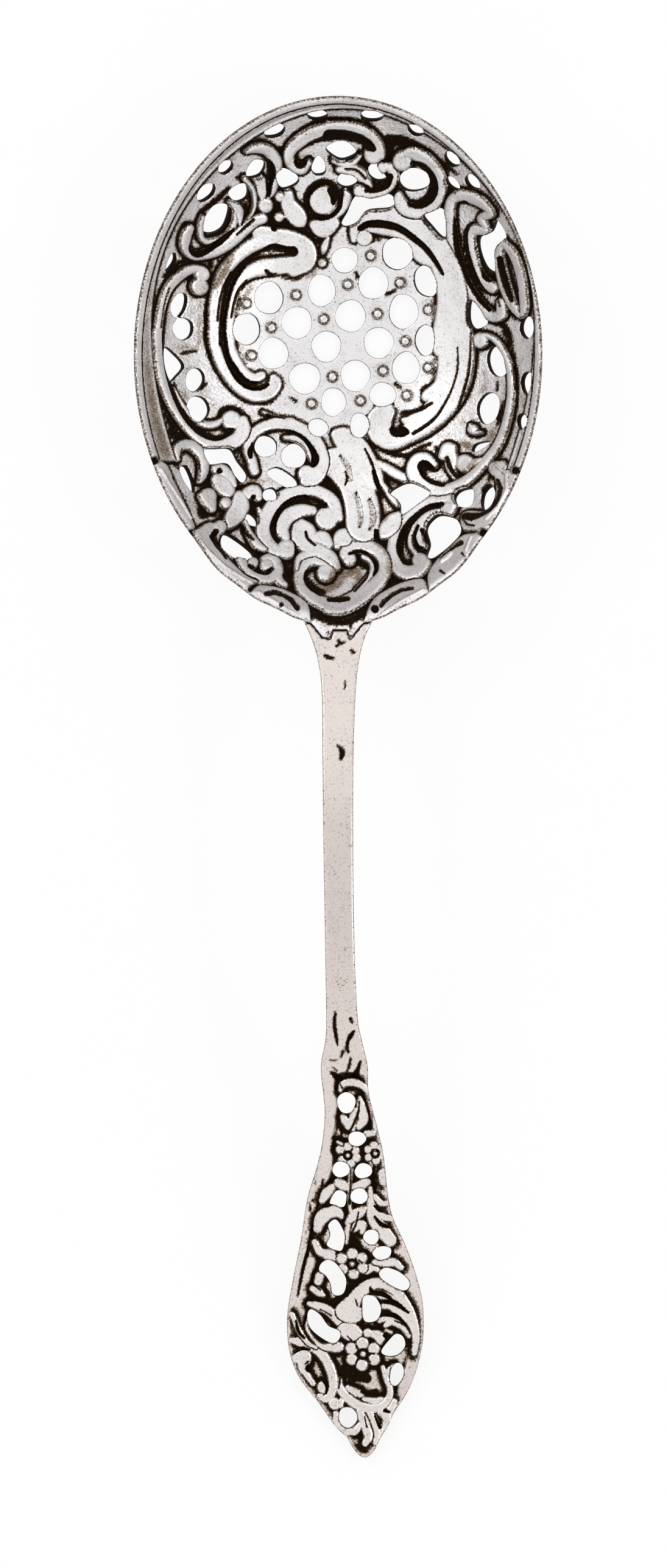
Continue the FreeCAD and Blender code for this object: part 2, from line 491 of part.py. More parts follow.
def hole_tool(points):
    """A prism along the bowl's own normal at the middle of a hole."""
    middle = Vector(0, 0, 0)
    for point in points:
        middle += point * (1 / len(points))
    across = middle.x / bowl_squeeze
    along = middle.y - bowl_y
    radius = math.hypot(across, along)
    angle = 0
    if radius > bowl_flat_radius:
        angle = math.asin(min((radius - bowl_flat_radius) / arc_radius, math.sin(edge_angle)))
    height = bowl_wall + arc_radius * (1 - math.cos(angle))
    slope = Vector(across / bowl_squeeze, along, 0) * (math.tan(angle) / radius)
    seat = [point + Vector(0, 0, height + slope.dot(point - middle)) for point in points]
    normal = Vector(-slope.x, -slope.y, 1).normalize()
    face = flat_face(seat)
    face.translate(normal * (-overrun / 2))
    return face.extrude(normal * overrun)


def bowl_hole_tools():
    outlines = []
    for u, v, half_u, half_v, lean in lattice_hole_shares + oval_hole_shares:
        outlines.append(oval_points(bowl_point(u, v), half_u * half_width, half_v * half_length, lean, hole_sides))
    for shares in free_hole_shares:
        outlines.append(smooth_points([bowl_point(u, v) for u, v in shares], curve_step, True))
    return [hole_tool(points) for points in outlines]


def near(first, second):
    return first.BoundBox.intersect(second.BoundBox)


def cut_by(shape, tools):
    """Cuts a shape by those tools whose boxes it meets."""
    meeting = [tool for tool in tools if near(shape, tool)]
    if not meeting:
        return shape
    return shape.cut(meeting)


def trimmed(shape):
    """The solids of a shape, without crumbs much smaller than the largest."""
    largest = max(solid.Volume for solid in shape.Solids)
    kept = [solid for solid in shape.Solids if solid.Volume > crumb_share * largest]
    return Part.makeCompound(kept).removeSplitter()


def ornament(layer, groove_layer, shares, point_at, unit):
    """Strokes and knobs of one piece, cut from a layer of metal, each long stroke with its groove."""
    bodies = []
    grooves = []
    for stroke in shares["strokes"]:
        widths = [share * scroll_width for u, v, share in stroke]
        points = [point_at(u, v) + Vector(0, 0, width) for (u, v, share), width in zip(stroke, widths)]
        bodies.append(upright(stroke_points(points)))
        if len(stroke) > groove_least_points:
            narrow = []
            for point in points[1:-1]:
                narrow.append(Vector(point.x, point.y, min(groove_width, point.z * groove_share)))
            grooves.append(groove_layer.common(upright(stroke_points(narrow))))
    for u, v, radius in shares["knobs"]:
        bodies.append(upright(oval_points(point_at(u, v), radius * unit, radius * unit, 0, knob_sides)))
    plan = bodies[0].fuse(bodies[1:]) if len(bodies) > 1 else bodies[0]
    return cut_by(layer.common(plan), grooves)


def make_bowl():
    """The pierced sheet and every piece laid on it."""
    nodes = {}
    outline = upright(bowl_outline())
    holes = bowl_hole_tools()
    notches = []
    for u, v in notch_shares:
        notches.append(upright(oval_points(bowl_point(u, v), groove_width / 2, groove_width / 2, 0, knob_sides)))
    relief = bowl_layer(0, relief_height).common(outline)
    groove_layer = bowl_layer(relief_height - groove_depth, relief_height + overrun)
    sheet = bowl_layer(-bowl_wall, 0).common(outline)
    nodes["bowl_sheet"] = cut_by(sheet, holes + notches)

    inner_centre = Vector((rim_band_left - rim_band_right) / 2, bowl_y, 0)
    inner_half_width = half_width - (rim_band_left + rim_band_right) / 2
    inner = upright(oval_points(inner_centre, inner_half_width, half_length - rim_band_tip, 0, outline_sides))
    left_notch = bowl_point(*notch_shares[0])
    right_notch = bowl_point(*notch_shares[1])
    far_left = -half_width - overrun
    far_right = half_width + overrun
    under = upright([Vector(far_left, left_notch.y, 0), left_notch, right_notch, Vector(far_right, right_notch.y, 0),
                     Vector(far_right, -overall_length, 0), Vector(far_left, -overall_length, 0)])
    nodes["rim_band"] = cut_by(relief.cut([inner, under]), holes + notches)

    for name, shares in border_shares.items():
        strip = relief.common(upright([bowl_point(u, v) for u, v in shares]))
        nodes[name] = cut_by(strip, list(nodes.values())[1:] + holes + notches)

    for name, shares in bowl_piece_shares.items():
        piece = ornament(relief, groove_layer, shares, bowl_point, half_width)
        nodes[name] = cut_by(piece, list(nodes.values())[1:] + holes)

    bosses = []
    boss_layer = bowl_layer(0, boss_height)
    for u, v in boss_shares:
        points = oval_points(bowl_point(u, v), boss_radius, boss_radius, 0, knob_sides)
        bosses.append(boss_layer.common(upright(points)))
    nodes["lattice_bosses"] = cut_by(Part.makeCompound(bosses), list(nodes.values())[1:] + holes)
    heel_room = bowl_space(-bowl_wall).common(outline)
    return nodes, heel_room


def handle_layer(low, high):
    """Slab between the ground curve of the handle raised by low and by high."""
    handle_length = shoulder_y + overall_length / 2
    heel_height = section_points(-bowl_wall)[-2].z
    points = []
    for share, rise in arch_shares:
        points.append(Vector(-bowl_width, shoulder_y - share * handle_length, rise * heel_height))
    ground = []
    for point in smooth_points(points, arch_step):
        ground.append(Vector(point.x, point.y, stem_thickness + max(point.z, 0)))
    lower = [point + Vector(0, 0, low) for point in ground]
    upper = [point + Vector(0, 0, high) for point in ground]
    return flat_face(lower + upper[::-1]).extrude(Vector(2 * bowl_width, 0, 0)).removeSplitter()


def handle_outline():
    """Plan of the handle, from under the heel to the tip."""
    foot_y = end_point(0, end_left_shares[0][1]).y + end_length * stem_foot_share
    run = shoulder_y - foot_y
    left = [Vector(low * stem_width, shoulder_y - share * run, 0) for share, low, high in stem_shares]
    right = [Vector(high * stem_width, shoulder_y - share * run, 0) for share, low, high in stem_shares]
    left += [end_point(s, t) for s, t in end_left_shares]
    right += [end_point(s, t) for s, t in end_right_shares[::-1]]
    tip = [left[-1]] + [end_point(s, t) for s, t in end_tip_shares] + [right[-1]]
    outline = smooth_points(left, curve_step) + smooth_points(tip, curve_step)[1:-1]
    outline += smooth_points(right, curve_step)[::-1]
    return outline + [Vector(share * stem_width, shoulder_y + lap_length, 0) for share in lap_shares]


def make_handle(heel_room):
    """The stem with its sunk and pierced end plate, and the ornament on the plate."""
    nodes = {}
    holes = []
    for s, t, half_s, half_t, lean in end_oval_shares:
        points = oval_points(end_point(s, t), half_s * end_width / 2, half_t * end_length / 2, lean, hole_sides)
        holes.append(upright(points))
    for shares in end_free_shares:
        holes.append(upright(smooth_points([end_point(s, t) for s, t in shares], curve_step, True)))
    ground = upright(smooth_points([end_point(s, t) for s, t in end_ground_shares], curve_step, True))
    body = handle_layer(-stem_thickness, relief_height).common(upright(handle_outline()))
    sunk = handle_layer(0, relief_height + overrun).common(ground)
    nodes["handle"] = body.cut([heel_room, sunk]).cut(holes)

    relief = handle_layer(0, relief_height).common(ground)
    groove_layer = handle_layer(relief_height - groove_depth, relief_height + overrun)
    for name, shares in end_piece_shares.items():
        piece = ornament(relief, groove_layer, shares, end_point, end_width / 2)
        nodes[name] = cut_by(piece, list(nodes.values())[1:] + holes)
    return nodes


def main():
    os.makedirs("parts", exist_ok=True)
    nodes, heel_room = make_bowl()
    nodes.update(make_handle(heel_room))
    for name, shape in nodes.items():
        node = trimmed(shape)
        node.exportStep(os.path.join("parts", name + ".step"))
        box = node.BoundBox
        print(name, len(node.Solids), round(node.Volume, 1), node.isValid(),
              [round(value, 1) for value in (box.XMin, box.YMin, box.ZMin, box.XMax, box.YMax, box.ZMax)])


main()
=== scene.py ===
import math
from functools import lru_cache

import bpy
import numpy as np
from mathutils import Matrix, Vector


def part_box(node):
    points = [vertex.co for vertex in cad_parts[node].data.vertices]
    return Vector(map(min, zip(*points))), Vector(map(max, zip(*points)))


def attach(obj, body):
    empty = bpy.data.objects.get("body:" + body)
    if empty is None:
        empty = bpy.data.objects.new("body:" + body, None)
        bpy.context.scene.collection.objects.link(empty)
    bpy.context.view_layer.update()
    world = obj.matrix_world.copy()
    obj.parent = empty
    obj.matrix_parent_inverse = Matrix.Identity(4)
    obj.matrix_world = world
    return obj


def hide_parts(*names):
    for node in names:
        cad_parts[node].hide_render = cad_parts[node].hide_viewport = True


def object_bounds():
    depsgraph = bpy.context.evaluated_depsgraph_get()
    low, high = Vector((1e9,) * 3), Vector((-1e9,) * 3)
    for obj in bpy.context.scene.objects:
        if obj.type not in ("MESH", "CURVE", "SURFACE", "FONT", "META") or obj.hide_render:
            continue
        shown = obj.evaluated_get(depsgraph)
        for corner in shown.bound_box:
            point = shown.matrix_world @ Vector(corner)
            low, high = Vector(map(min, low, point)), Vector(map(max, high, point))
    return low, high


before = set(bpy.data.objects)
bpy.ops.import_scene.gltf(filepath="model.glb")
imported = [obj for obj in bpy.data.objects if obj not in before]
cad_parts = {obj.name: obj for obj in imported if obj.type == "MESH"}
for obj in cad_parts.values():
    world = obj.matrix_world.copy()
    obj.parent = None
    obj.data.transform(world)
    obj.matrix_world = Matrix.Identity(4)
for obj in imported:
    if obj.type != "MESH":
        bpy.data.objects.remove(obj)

bl_info = {
    "name": "Pierced berry spoon",
    "version": (1, 0, 0),
    "blender": (4, 5, 0),
    "location": "3D View > Sidebar > Berry spoon",
    "description": "Builds an antique silver berry spoon with a pierced bowl and laid-on scrollwork",
    "category": "Object",
}

# Sizes are worked in millimetres and written to the meshes in metres.
MM = 1000.0
cad_low, cad_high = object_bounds()
bowl_low, bowl_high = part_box("bowl_sheet")
spoon_tip = cad_high.y * MM
spoon_length = (cad_high.y - cad_low.y) * MM
half_width = (bowl_high.x - bowl_low.x) * MM / 2

# Bowl: a flat middle, an arc up to the rim, which stands upright, a curl back at the heel and a straight lip.
half_length = 42.5
bowl_depth = 17.0
bowl_wall = 1.0
flat_radius = 10.0
heel_curl_radius = 4.0
heel_slope = math.radians(12.0)
lip_length = 12.0
upright_rim = 3.0
bowl_y = spoon_tip - half_length
squeeze = half_width / half_length
arc_span = half_length - flat_radius
arc_radius = (arc_span ** 2 + bowl_depth ** 2) / (2 * bowl_depth)
edge_angle = math.asin(arc_span / arc_radius)

# Handle: stem, shoulders that run on under the heel, and the end plate.
stem_width = 5.0
stem_thickness = 1.9
end_width = 23.0
end_length = 67.0
end_offset = 3.0
lap_length = 4.0
shoulder_share = 1.021
end_y = spoon_tip - spoon_length + end_length / 2
shoulder_y = bowl_y - shoulder_share * half_length
handle_length = shoulder_y - spoon_tip + spoon_length

# Rim band: its widths at the sides and the tip; the thread cut along it, with its tone's fade and how far it
# keeps from the band's ends; and the hollow inside the thread, with where it starts and is full from the rim
# and from the ends, and the tan tone laid in it, which grows from right to left over a span.
rim_band_left = 2.8
rim_band_right = 1.2
rim_band_tip = 1.4
rim_line_inset = 0.95
rim_line_half = 0.16
rim_line_depth = 0.18
rim_line_tone = 0.8
rim_line_fade = 0.6
rim_line_clear = 0.1
rim_hollow_inset = (1.0, 1.5)
rim_hollow_depth = 0.2
rim_hollow_clear = (0.2, 0.6)
rim_hollow_tone = 0.75
rim_hollow_tone_right = 0.25
rim_hollow_tone_span = (4.0, 24.0)

# Ring bosses, and the lattice that they stand on: its middle and half axes in shares of the bowl's, and where
# plain lattice turns to chased ground.
boss_radius = 1.05
boss_ring_share = 0.72
lattice_middle_share = 0.05
lattice_half_shares = (0.5, 0.45)
lattice_fade = (0.8, 1.15)

# Plan grids: fine for ornament, every few lines of it for the sheet and the handle, and wider than the metal
# by a margin. Distances to holes and outlines are followed up to the reach, and an edge of the grid is never
# cut closer to its ends than a share.
bowl_pitch = 0.119
sheet_stride = 3
end_pitch = 0.1
handle_stride = 2
bowl_grid_share = 1.115
grid_margin = 0.6
window_margin = 1.0
plate_margin = 1.0
field_reach = 3.0
OUTSIDE = -9.0
cut_margin = 0.04

# Steps along curves: strokes, stains, residue, holes, other outlines, the stem's sides and the end's tip.
stroke_step = 0.35
stain_step = 0.4
residue_step = 0.6
hole_step = 0.3
outline_step = 0.5
stem_step = 0.6
tip_step = 0.4

# Raised pieces: the gap left between two, the smallest island kept, the height of their bed (just under the
# face) and their least height; the share of their height that stands upright at the edge, a plain band's
# share, and rise and shoulder of a trimmed edge; and the width of a berry's moat and of a boss's ring.
piece_gap = 0.05
crumb_area = 0.5
bed = -0.06
least_height = 0.04
edge_share = 0.35
band_share = 0.8
trimmed_rise = 1.3
trimmed_shoulder = 0.4
moat_width = 0.3

# Plates: the notches' radius, half the slopes round the end's sunk ground (in height and in chasing), how
# edges are rounded, and how much the outline of a sawn hole wavers.
notch_radius = 0.6
sunk_edge = 0.25
ground_edge = 0.3
hole_edge_round = 0.14
handle_edge_round = 0.3
hole_waver = 0.02

# Handle under the heel: how far outside the bowl's outline it gives way, the gap left, and its least
# thickness.
heel_reach = 0.3
lap_gap = 0.03
least_thickness = 0.15

# Chased marks: depth as a share of the groove's, below zero where raised, and how black tarnish lies in them.
# The black fades over the soft edge, on the inner side no wider than a share of the mark's half width, and on
# the bowl it spreads a little.
chased_marks = {
    "groove": (1.0, 1.0), "fold": (0.5, 0.2), "line": (0.5, 0.75), "pit": (1.0, 1.0), "ring": (1 / 3, 0.42),
    "stain": (0.0, 0.85), "ridge": (-0.5, 0.0), "bump": (-0.5, 0.0),
}
soft_edge = 0.2
soft_share = 0.8
dark_spread = 0.01

# Tarnish. Heights are averaged near and wide round each point, and a place is darker the further it lies
# under the average (from, to): low places of a piece, gaps between pieces, and open ground. Chased ground has
# its own grime, and pieces take a share of the grime of the ground.
near_blur = 0.28
wide_blur = 1.1
low_drop = (0.02, 0.13)
low_tone = 0.8
gap_drop = (0.22, 0.42)
open_drop = (0.03, 0.4)
open_tone = 0.3
chased_tone = 0.24
piece_grime = 0.25

# Painted shade on a piece's rounded shoulder, gone and full at two depths in from its edge, and its tone; a
# darker line along the outer edge, just inside which wear keeps the metal clean, as it does round the notches;
# and tarnish round the feet of pieces, with its width, weaker on the lattice.
shoulder_shade_span = (0.4, 0.05)
shoulder_shade_tone = 0.42
outer_edge = 0.16
outer_tone = 0.4
worn_edge = 0.9
notch_worn = 0.5
foot_width = 0.7
end_foot_width = 1.2
foot_tone = 1.3
boss_foot_tone = 0.1
lattice_foot_share = 0.6
foot_blur = 0.09

# Dust: tone of dried residue and where across a stroke it is full, its softness, and the pitted zone of the
# stem, which is gone beyond one distance from its middle and full within the other.
residue_tone = 0.85
residue_full = 0.7
dust_blur = 0.45
pitted_tone = 0.26
pitted_span = (24.0, 4.0)

# Patina and shade, grime and beating on the plates' underside and on the walls of holes and edges, where the
# dark of the walls is painted shade with some patina; the share of it that a wall's top has; how wide and how
# much walls along the outer edge are worn cleaner; and the beating of plates and raised pieces on plain
# lattice, with what chased ground adds.
back_marks = (0.1, 0.3, 0.5)
wall_marks = (0.85, 0.5, 0.5)
wall_top_share = 0.3
wall_worn_width = 1.2
wall_worn_share = 0.4
plate_beating = (0.15, 0.85)
relief_beating = (0.3, 0.5)

# Silver's finish: sizes of the specks, grain, clouds, scratches and swirls in millimetres, their weights
# beside the patina and shade and the grime, and the sums between which each layer comes up, with its strength.
# The warm ramp is the stem's tone, along the spoon in metres. Dents and scratches have depths in metres.
speck_size = 0.34
grain_size = 0.12
cloud_size = 2.5
scratch_size = 0.5
swirl_size = 1.6
patina_and_shade_weights = {"patina_and_shade": 1.35, "speck": 1.7, "grain": 1.5, "cloud": 0.4}
wash_weights = {"grime": 0.95, "speck": 1.2, "cloud": 1.1}
dot_weights = {"grime": 0.8, "grain": 2.4, "speck": 0.8}
film_ramp = (1.95, 2.3, 0.9)
black_ramp = (2.34, 2.62, 1.0)
wash_ramp = (1.4, 2.0, 0.85)
dot_ramp = (2.0, 2.3, 0.9)
shade_ramp = (0.42, 0.75, 0.5)
warm_ramp = (-0.02, -0.05, 0.55)
dull_roughness = 0.7
dent_depth = 0.0005
scratch_depth = 0.00006
scratch_strength = 0.3
scratch_stretch = (1.0, 0.18, 1.0)

# Light of the studio tent: overhead, in the ring round it, at the horizon, and its softer patches (direction,
# how far they spread in degrees, gain). Heights are those of a unit direction: overhead ends, the ring is
# full, and the horizon's light has passed into it.
tent_top = 0.85
tent_ring = 1.0
tent_low = 0.95
tent_ring_heights = (0.98, 0.8)
tent_low_height = 0.7
tent_patches = [
    ((0.0, 0.4, 1.0), 17.0, 0.3), ((-0.75, 0.3, 1.0), 26.0, 0.07), ((0.8, -0.35, 0.75), 30.0, -0.25),
]

# Stage: half the paper's side in metres, how white it shows, and its grain in millimetres; the lamps (place
# and side in metres, watts); the camera's sensor in millimetres, and its shift towards the tip in metres.
paper_half = 3.0
paper_white = 0.85
paper_grain_size = 2.0
lamps = {"softbox_left": ((-0.9, 0.7, 1.1), 0.4, 2.4), "softbox_right": ((1.0, -0.2, 1.0), 0.3, 2.5)}
sensor_width = 36.0
camera_shift = 0.0004

# Photograph: its size and scale, and the pixels of the spoon's middle, the pitted zone's middle on the stem,
# and the bowl's middle and half axes.
photo_pixels = (1095, 2576)
photo_pixel = 0.1
spoon_middle_pixels = (555, 1275)
stem_pitted_pixel = 1540
bowl_centre_pixels = (555, 580)
bowl_half_pixels = (337, 425)

# Enlarged crops in which the ornament was read: left and top edge in the photograph, and enlargement.
crop_pixels = {
    "top_left": (210, 150, 3.657), "top_right": (540, 150, 3.658),
    "mid_left": (210, 540, 4.286), "mid_right": (540, 540, 4.167),
    "low_left": (230, 740, 4.545), "low_right": (540, 740, 4.412),
    "end_high": (436, 1700, 2.778), "end_low": (436, 2050, 2.778), "stem": (470, 990, 2.0),
}

# Bowl outline past the ellipse, where it flares into the handle, in shares of half width and half length.
flare_shares = [(0.712, -0.7022), (0.6, -0.822), (0.49, -0.892), (0.4, -0.944), (0.3, -0.981),
                (0.225, -1.012)]
shoulder_point_share = (0.172, -1.026)
tongue_shares = [(0.12, -1.036), (0.085, -1.07), (0.06, -1.094), (0.044, -1.06),
                 (-0.03, -1.06), (-0.04, -1.094), (-0.075, -1.09), (-0.13, -1.036)]

# Round holes of the lattice: place, half axes, lean in degrees.
lattice_hole_shares = [
    (0.032, 0.377, 0.064, 0.049, 0), (0.2915, 0.402, 0.0765, 0.062, 0), (-0.081, 0.26, 0.0665, 0.062, 0),
    (0.173, 0.288, 0.073, 0.062, 0), (0.061, 0.161, 0.075, 0.062, 0), (-0.203, 0.135, 0.075, 0.062, 0),
    (-0.058, 0.043, 0.072, 0.06, 0), (0.2, 0.057, 0.073, 0.06, 0), (0.321, 0.178, 0.071, 0.067, 0),
    (-0.319, 0.016, 0.074, 0.061, 0), (-0.34, 0.2305, 0.0705, 0.062, 0), (-0.452, 0.109, 0.07, 0.06, 0),
    (-0.164, -0.081, 0.077, 0.06, 0), (0.085, -0.071, 0.072, 0.061, 0), (-0.023, -0.173, 0.061, 0.055, 0),
    (0.219, -0.144, 0.0655, 0.0465, 0), (0.3335, -0.041, 0.0675, 0.062, 0), (0.43, 0.293, 0.055, 0.062, 20),
    (0.4285, 0.066, 0.05, 0.06, 0), (-0.098, -0.272, 0.05, 0.034, -20), (0.105, -0.263, 0.046, 0.048, 0),
]

# Oval holes of the rim row and between the scrolls, same terms.
oval_hole_shares = [
    (-0.101, 0.928, 0.049, 0.02, 0), (0.166, 0.9265, 0.056, 0.024, 0), (-0.31, 0.867, 0.053, 0.024, 20),
    (0.381, 0.8725, 0.043, 0.0235, -25), (0.557, 0.757, 0.045, 0.022, -45), (0.658, 0.668, 0.045, 0.022, -48),
    (0.562, 0.666, 0.042, 0.018, -45), (-0.55, 0.727, 0.04, 0.023, 40), (-0.646, 0.63, 0.055, 0.025, 45),
    (0.924, 0.108, 0.033, 0.043, 0), (0.926, -0.107, 0.03, 0.045, 0), (0.906, -0.255, 0.03, 0.033, 0),
    (0.044, 0.683, 0.05, 0.0275, 0), (0.373, 0.682, 0.076, 0.044, 0), (0.78, -0.022, 0.046, 0.06, 15),
    (-0.78, 0.198, 0.036, 0.05, -20), (-0.76, 0.1065, 0.05, 0.042, 0), (-0.7025, -0.089, 0.045, 0.046, -15),
    (-0.688, -0.203, 0.056, 0.051, 0), (-0.355, -0.345, 0.055, 0.042, 0), (-0.2185, -0.382, 0.061, 0.048, 0),
    (-0.333, -0.534, 0.036, 0.028, 0), (0.737, -0.2, 0.053, 0.062, -12),
]

# Free-form holes of the bowl.
free_hole_shares = [
    [(-0.45, 0.7), (-0.44, 0.73), (-0.41, 0.757), (-0.37, 0.755), (-0.357, 0.735), (-0.38, 0.7),
     (-0.43, 0.688)],
    [(-0.538, 0.63), (-0.5, 0.66), (-0.455, 0.667), (-0.44, 0.64), (-0.45, 0.61), (-0.5, 0.597)],
    [(-0.665, 0.49), (-0.655, 0.53), (-0.61, 0.58), (-0.56, 0.59), (-0.531, 0.57), (-0.56, 0.5),
     (-0.62, 0.475)],
    [(-0.305, 0.69), (-0.3, 0.72), (-0.26, 0.727), (-0.2, 0.7), (-0.2, 0.67), (-0.27, 0.649)],
    [(-0.13, 0.73), (-0.1, 0.777), (-0.065, 0.75), (-0.065, 0.71), (-0.11, 0.703)],
    [(-0.06, 0.8), (-0.02, 0.826), (0.04, 0.829), (0.09, 0.79), (0.05, 0.765), (0, 0.762)],
    [(0.148, 0.73), (0.18, 0.75), (0.21, 0.72), (0.236, 0.69), (0.19, 0.68), (0.152, 0.7)],
    [(0.088, 0.623), (0.165, 0.617), (0.251, 0.629), (0.279, 0.6), (0.25, 0.575), (0.142, 0.565),
     (0.09, 0.52), (0.0375, 0.505), (0.017, 0.52), (0.045, 0.56)],
    [(0.418, 0.545), (0.47, 0.565), (0.51, 0.572), (0.534, 0.535), (0.532, 0.47), (0.505, 0.462),
     (0.454, 0.505)],
    [(0.776, 0.522), (0.823, 0.458), (0.78, 0.42), (0.778, 0.33), (0.727, 0.337), (0.69, 0.4),
     (0.689, 0.455), (0.745, 0.475)],
    [(0.649, 0.218), (0.69, 0.2015), (0.724, 0.1585), (0.73, 0.125), (0.671, 0.108), (0.641, 0.145)],
    [(0.656, -0.362), (0.675, -0.337), (0.737, -0.328), (0.738, -0.34), (0.7, -0.36), (0.67, -0.37)],
    [(0.253, -0.527), (0.3, -0.497), (0.3565, -0.4855), (0.428, -0.511), (0.458, -0.5345), (0.395, -0.577),
     (0.33, -0.612), (0.306, -0.6), (0.3, -0.56)],
    [(0.596, -0.517), (0.655, -0.51), (0.664, -0.55), (0.645, -0.582), (0.589, -0.579), (0.568, -0.545)],
    [(0.71, -0.525), (0.745, -0.5), (0.768, -0.53), (0.75, -0.575), (0.715, -0.597), (0.7, -0.57)],
    [(0.5, -0.61), (0.575, -0.628), (0.601, -0.68), (0.55, -0.73), (0.493, -0.767), (0.455, -0.783),
     (0.43, -0.765), (0.446, -0.72), (0.431, -0.665), (0.455, -0.63)],
    [(-0.848, 0.034), (-0.8, 0.01), (-0.755, -0.035), (-0.784, -0.072), (-0.822, -0.095), (-0.85, -0.03)],
    [(-0.665, -0.362), (-0.59, -0.354), (-0.525, -0.356), (-0.49, -0.4), (-0.443, -0.455), (-0.47, -0.487),
     (-0.505, -0.46), (-0.545, -0.413), (-0.64, -0.415)],
    [(-0.775, -0.435), (-0.74, -0.425), (-0.705, -0.49), (-0.709, -0.53), (-0.754, -0.484)],
    [(-0.35, -0.447), (-0.3, -0.426), (-0.22, -0.462), (-0.2, -0.495), (-0.247, -0.506), (-0.32, -0.475)],
    [(-0.43, -0.603), (-0.4, -0.625), (-0.396, -0.65), (-0.415, -0.657), (-0.452, -0.64), (-0.452, -0.612)],
    [(-0.55, -0.684), (-0.49, -0.708), (-0.419, -0.755), (-0.419, -0.782), (-0.48, -0.79), (-0.55, -0.757),
     (-0.574, -0.72)],
    [(-0.845, 0.33), (-0.825, 0.381), (-0.8, 0.398), (-0.793, 0.37), (-0.82, 0.335)],
]

# Ring bosses among the lattice holes.
boss_shares = [
    (0.162, 0.396), (0.048, 0.283), (-0.207, 0.243), (0.307, 0.291), (0.448, 0.185), (0.195, 0.169),
    (-0.07, 0.149), (-0.329, 0.116), (0.333, 0.063), (-0.028, -0.075), (0.222, -0.052), (0.11, -0.168),
    (-0.13, -0.18), (0.447, -0.04), (0.34, -0.148), (-0.454, 0.21), (-0.428, 0.007),
]

# Border strips: the inner side of each; the outer side is the bowl outline.
border_shares = {
    "border_left_upper": [
        (-0.93, -0.42), (-0.85, -0.42), (-0.8, -0.5), (-0.74, -0.6), (-0.705, -0.67), (-0.735, -0.68),
        (-0.8, -0.72), (-0.98, -0.6),
    ],
    "border_left_lower": [
        (-0.735, -0.71), (-0.69, -0.67), (-0.63, -0.645), (-0.575, -0.675), (-0.59, -0.735), (-0.55, -0.78),
        (-0.46, -0.85), (-0.39, -0.88), (-0.44, -0.905), (-0.5, -1), (-0.8, -0.9),
    ],
    "border_left_heel": [
        (-0.43, -0.92), (-0.39, -0.893), (-0.3, -0.9), (-0.22, -0.925), (-0.15, -0.965), (-0.135, -1.03),
        (-0.172, -1.026), (-0.3, -1.1), (-0.5, -1),
    ],
    "border_right_upper": [
        (0.96, -0.46), (0.85, -0.43), (0.81, -0.405), (0.77, -0.45), (0.78, -0.52), (0.75, -0.6),
        (0.65, -0.6), (0.605, -0.62), (0.62, -0.68), (0.69, -0.685), (0.74, -0.7), (0.98, -0.6),
    ],
    "border_right_lower": [
        (0.72, -0.705), (0.67, -0.69), (0.61, -0.7), (0.55, -0.745), (0.48, -0.8), (0.44, -0.86),
        (0.455, -0.93), (0.5, -1), (0.9, -0.9),
    ],
    "border_right_heel": [
        (0.45, -0.93), (0.425, -0.87), (0.34, -0.875), (0.25, -0.905), (0.17, -0.95), (0.13, -1.02),
        (0.13, -1.034), (0.172, -1.026), (0.3, -1.1), (0.5, -1),
    ],
}

# Notches of the rim, where the band and the strips stop short of each other.
notch_shares = [(-0.905, -0.41), (0.875, -0.448), (-0.73, -0.695), (0.715, -0.69)]

# Stem: distance from the shoulders as a share of it, left and right edge as shares of its width.
stem_shares = [
    (0, -1.16, 1.16), (0.039, -0.88, 0.87), (0.09, -0.65, 0.68), (0.16, -0.53, 0.57), (0.3, -0.51, 0.5),
    (0.5, -0.47, 0.495), (0.7, -0.42, 0.54), (0.84, -0.39, 0.64), (0.89, -0.42, 0.78), (0.945, -0.565, 0.97),
    (1, -0.49, 1.0),
]

# End plate outline, in shares of its half width and half length.
end_left_shares = [
    (-0.45, 0.7), (-0.49, 0.55), (-0.57, 0.43), (-0.7, 0.28), (-0.79, 0.08), (-0.9, -0.11), (-0.99, -0.31),
    (-0.955, -0.48), (-0.81, -0.61), (-0.55, -0.725), (-0.3, -0.845), (-0.13, -0.9),
]
end_tip_shares = [(-0.06, -0.945), (0.03, -0.985), (0.14, -1), (0.26, -0.965), (0.345, -0.905)]
end_right_shares = [
    (0.44, -0.855), (0.55, -0.775), (0.72, -0.685), (0.86, -0.57), (0.955, -0.42), (0.955, -0.25),
    (0.87, -0.115), (0.72, 0.035), (0.52, 0.19), (0.445, 0.32), (0.39, 0.49), (0.3, 0.63),
]

# Sunk ground and holes of the end plate.
end_ground_shares = [
    (-0.3, 0.88), (-0.28, 0.72), (-0.33, 0.58), (-0.35, 0.44), (-0.45, 0.3), (-0.5, 0.14), (-0.6, -0.05),
    (-0.72, -0.22), (-0.74, -0.42), (-0.62, -0.6), (-0.4, -0.7), (-0.22, -0.8), (-0.02, -0.9), (0.15, -0.93),
    (0.3, -0.86), (0.5, -0.72), (0.68, -0.58), (0.78, -0.4), (0.76, -0.24), (0.64, -0.1), (0.5, 0.06),
    (0.34, 0.2), (0.27, 0.36), (0.24, 0.52), (0.2, 0.66), (0.1, 0.8), (-0.04, 0.9),
]
end_oval_shares = [
    (-0.143, 0.755, 0.13, 0.052, 0), (0.01, 0.577, 0.126, 0.036, 0), (-0.22, 0.425, 0.122, 0.039, 0),
    (0.1, 0.418, 0.125, 0.037, 15), (0.04, 0.293, 0.122, 0.039, 0), (0.213, 0.09, 0.11, 0.0375, 0),
    (0.37, 0.012, 0.135, 0.033, 10), (0.58, -0.59, 0.095, 0.058, -12), (-0.12, -0.803, 0.13, 0.051, 12),
]
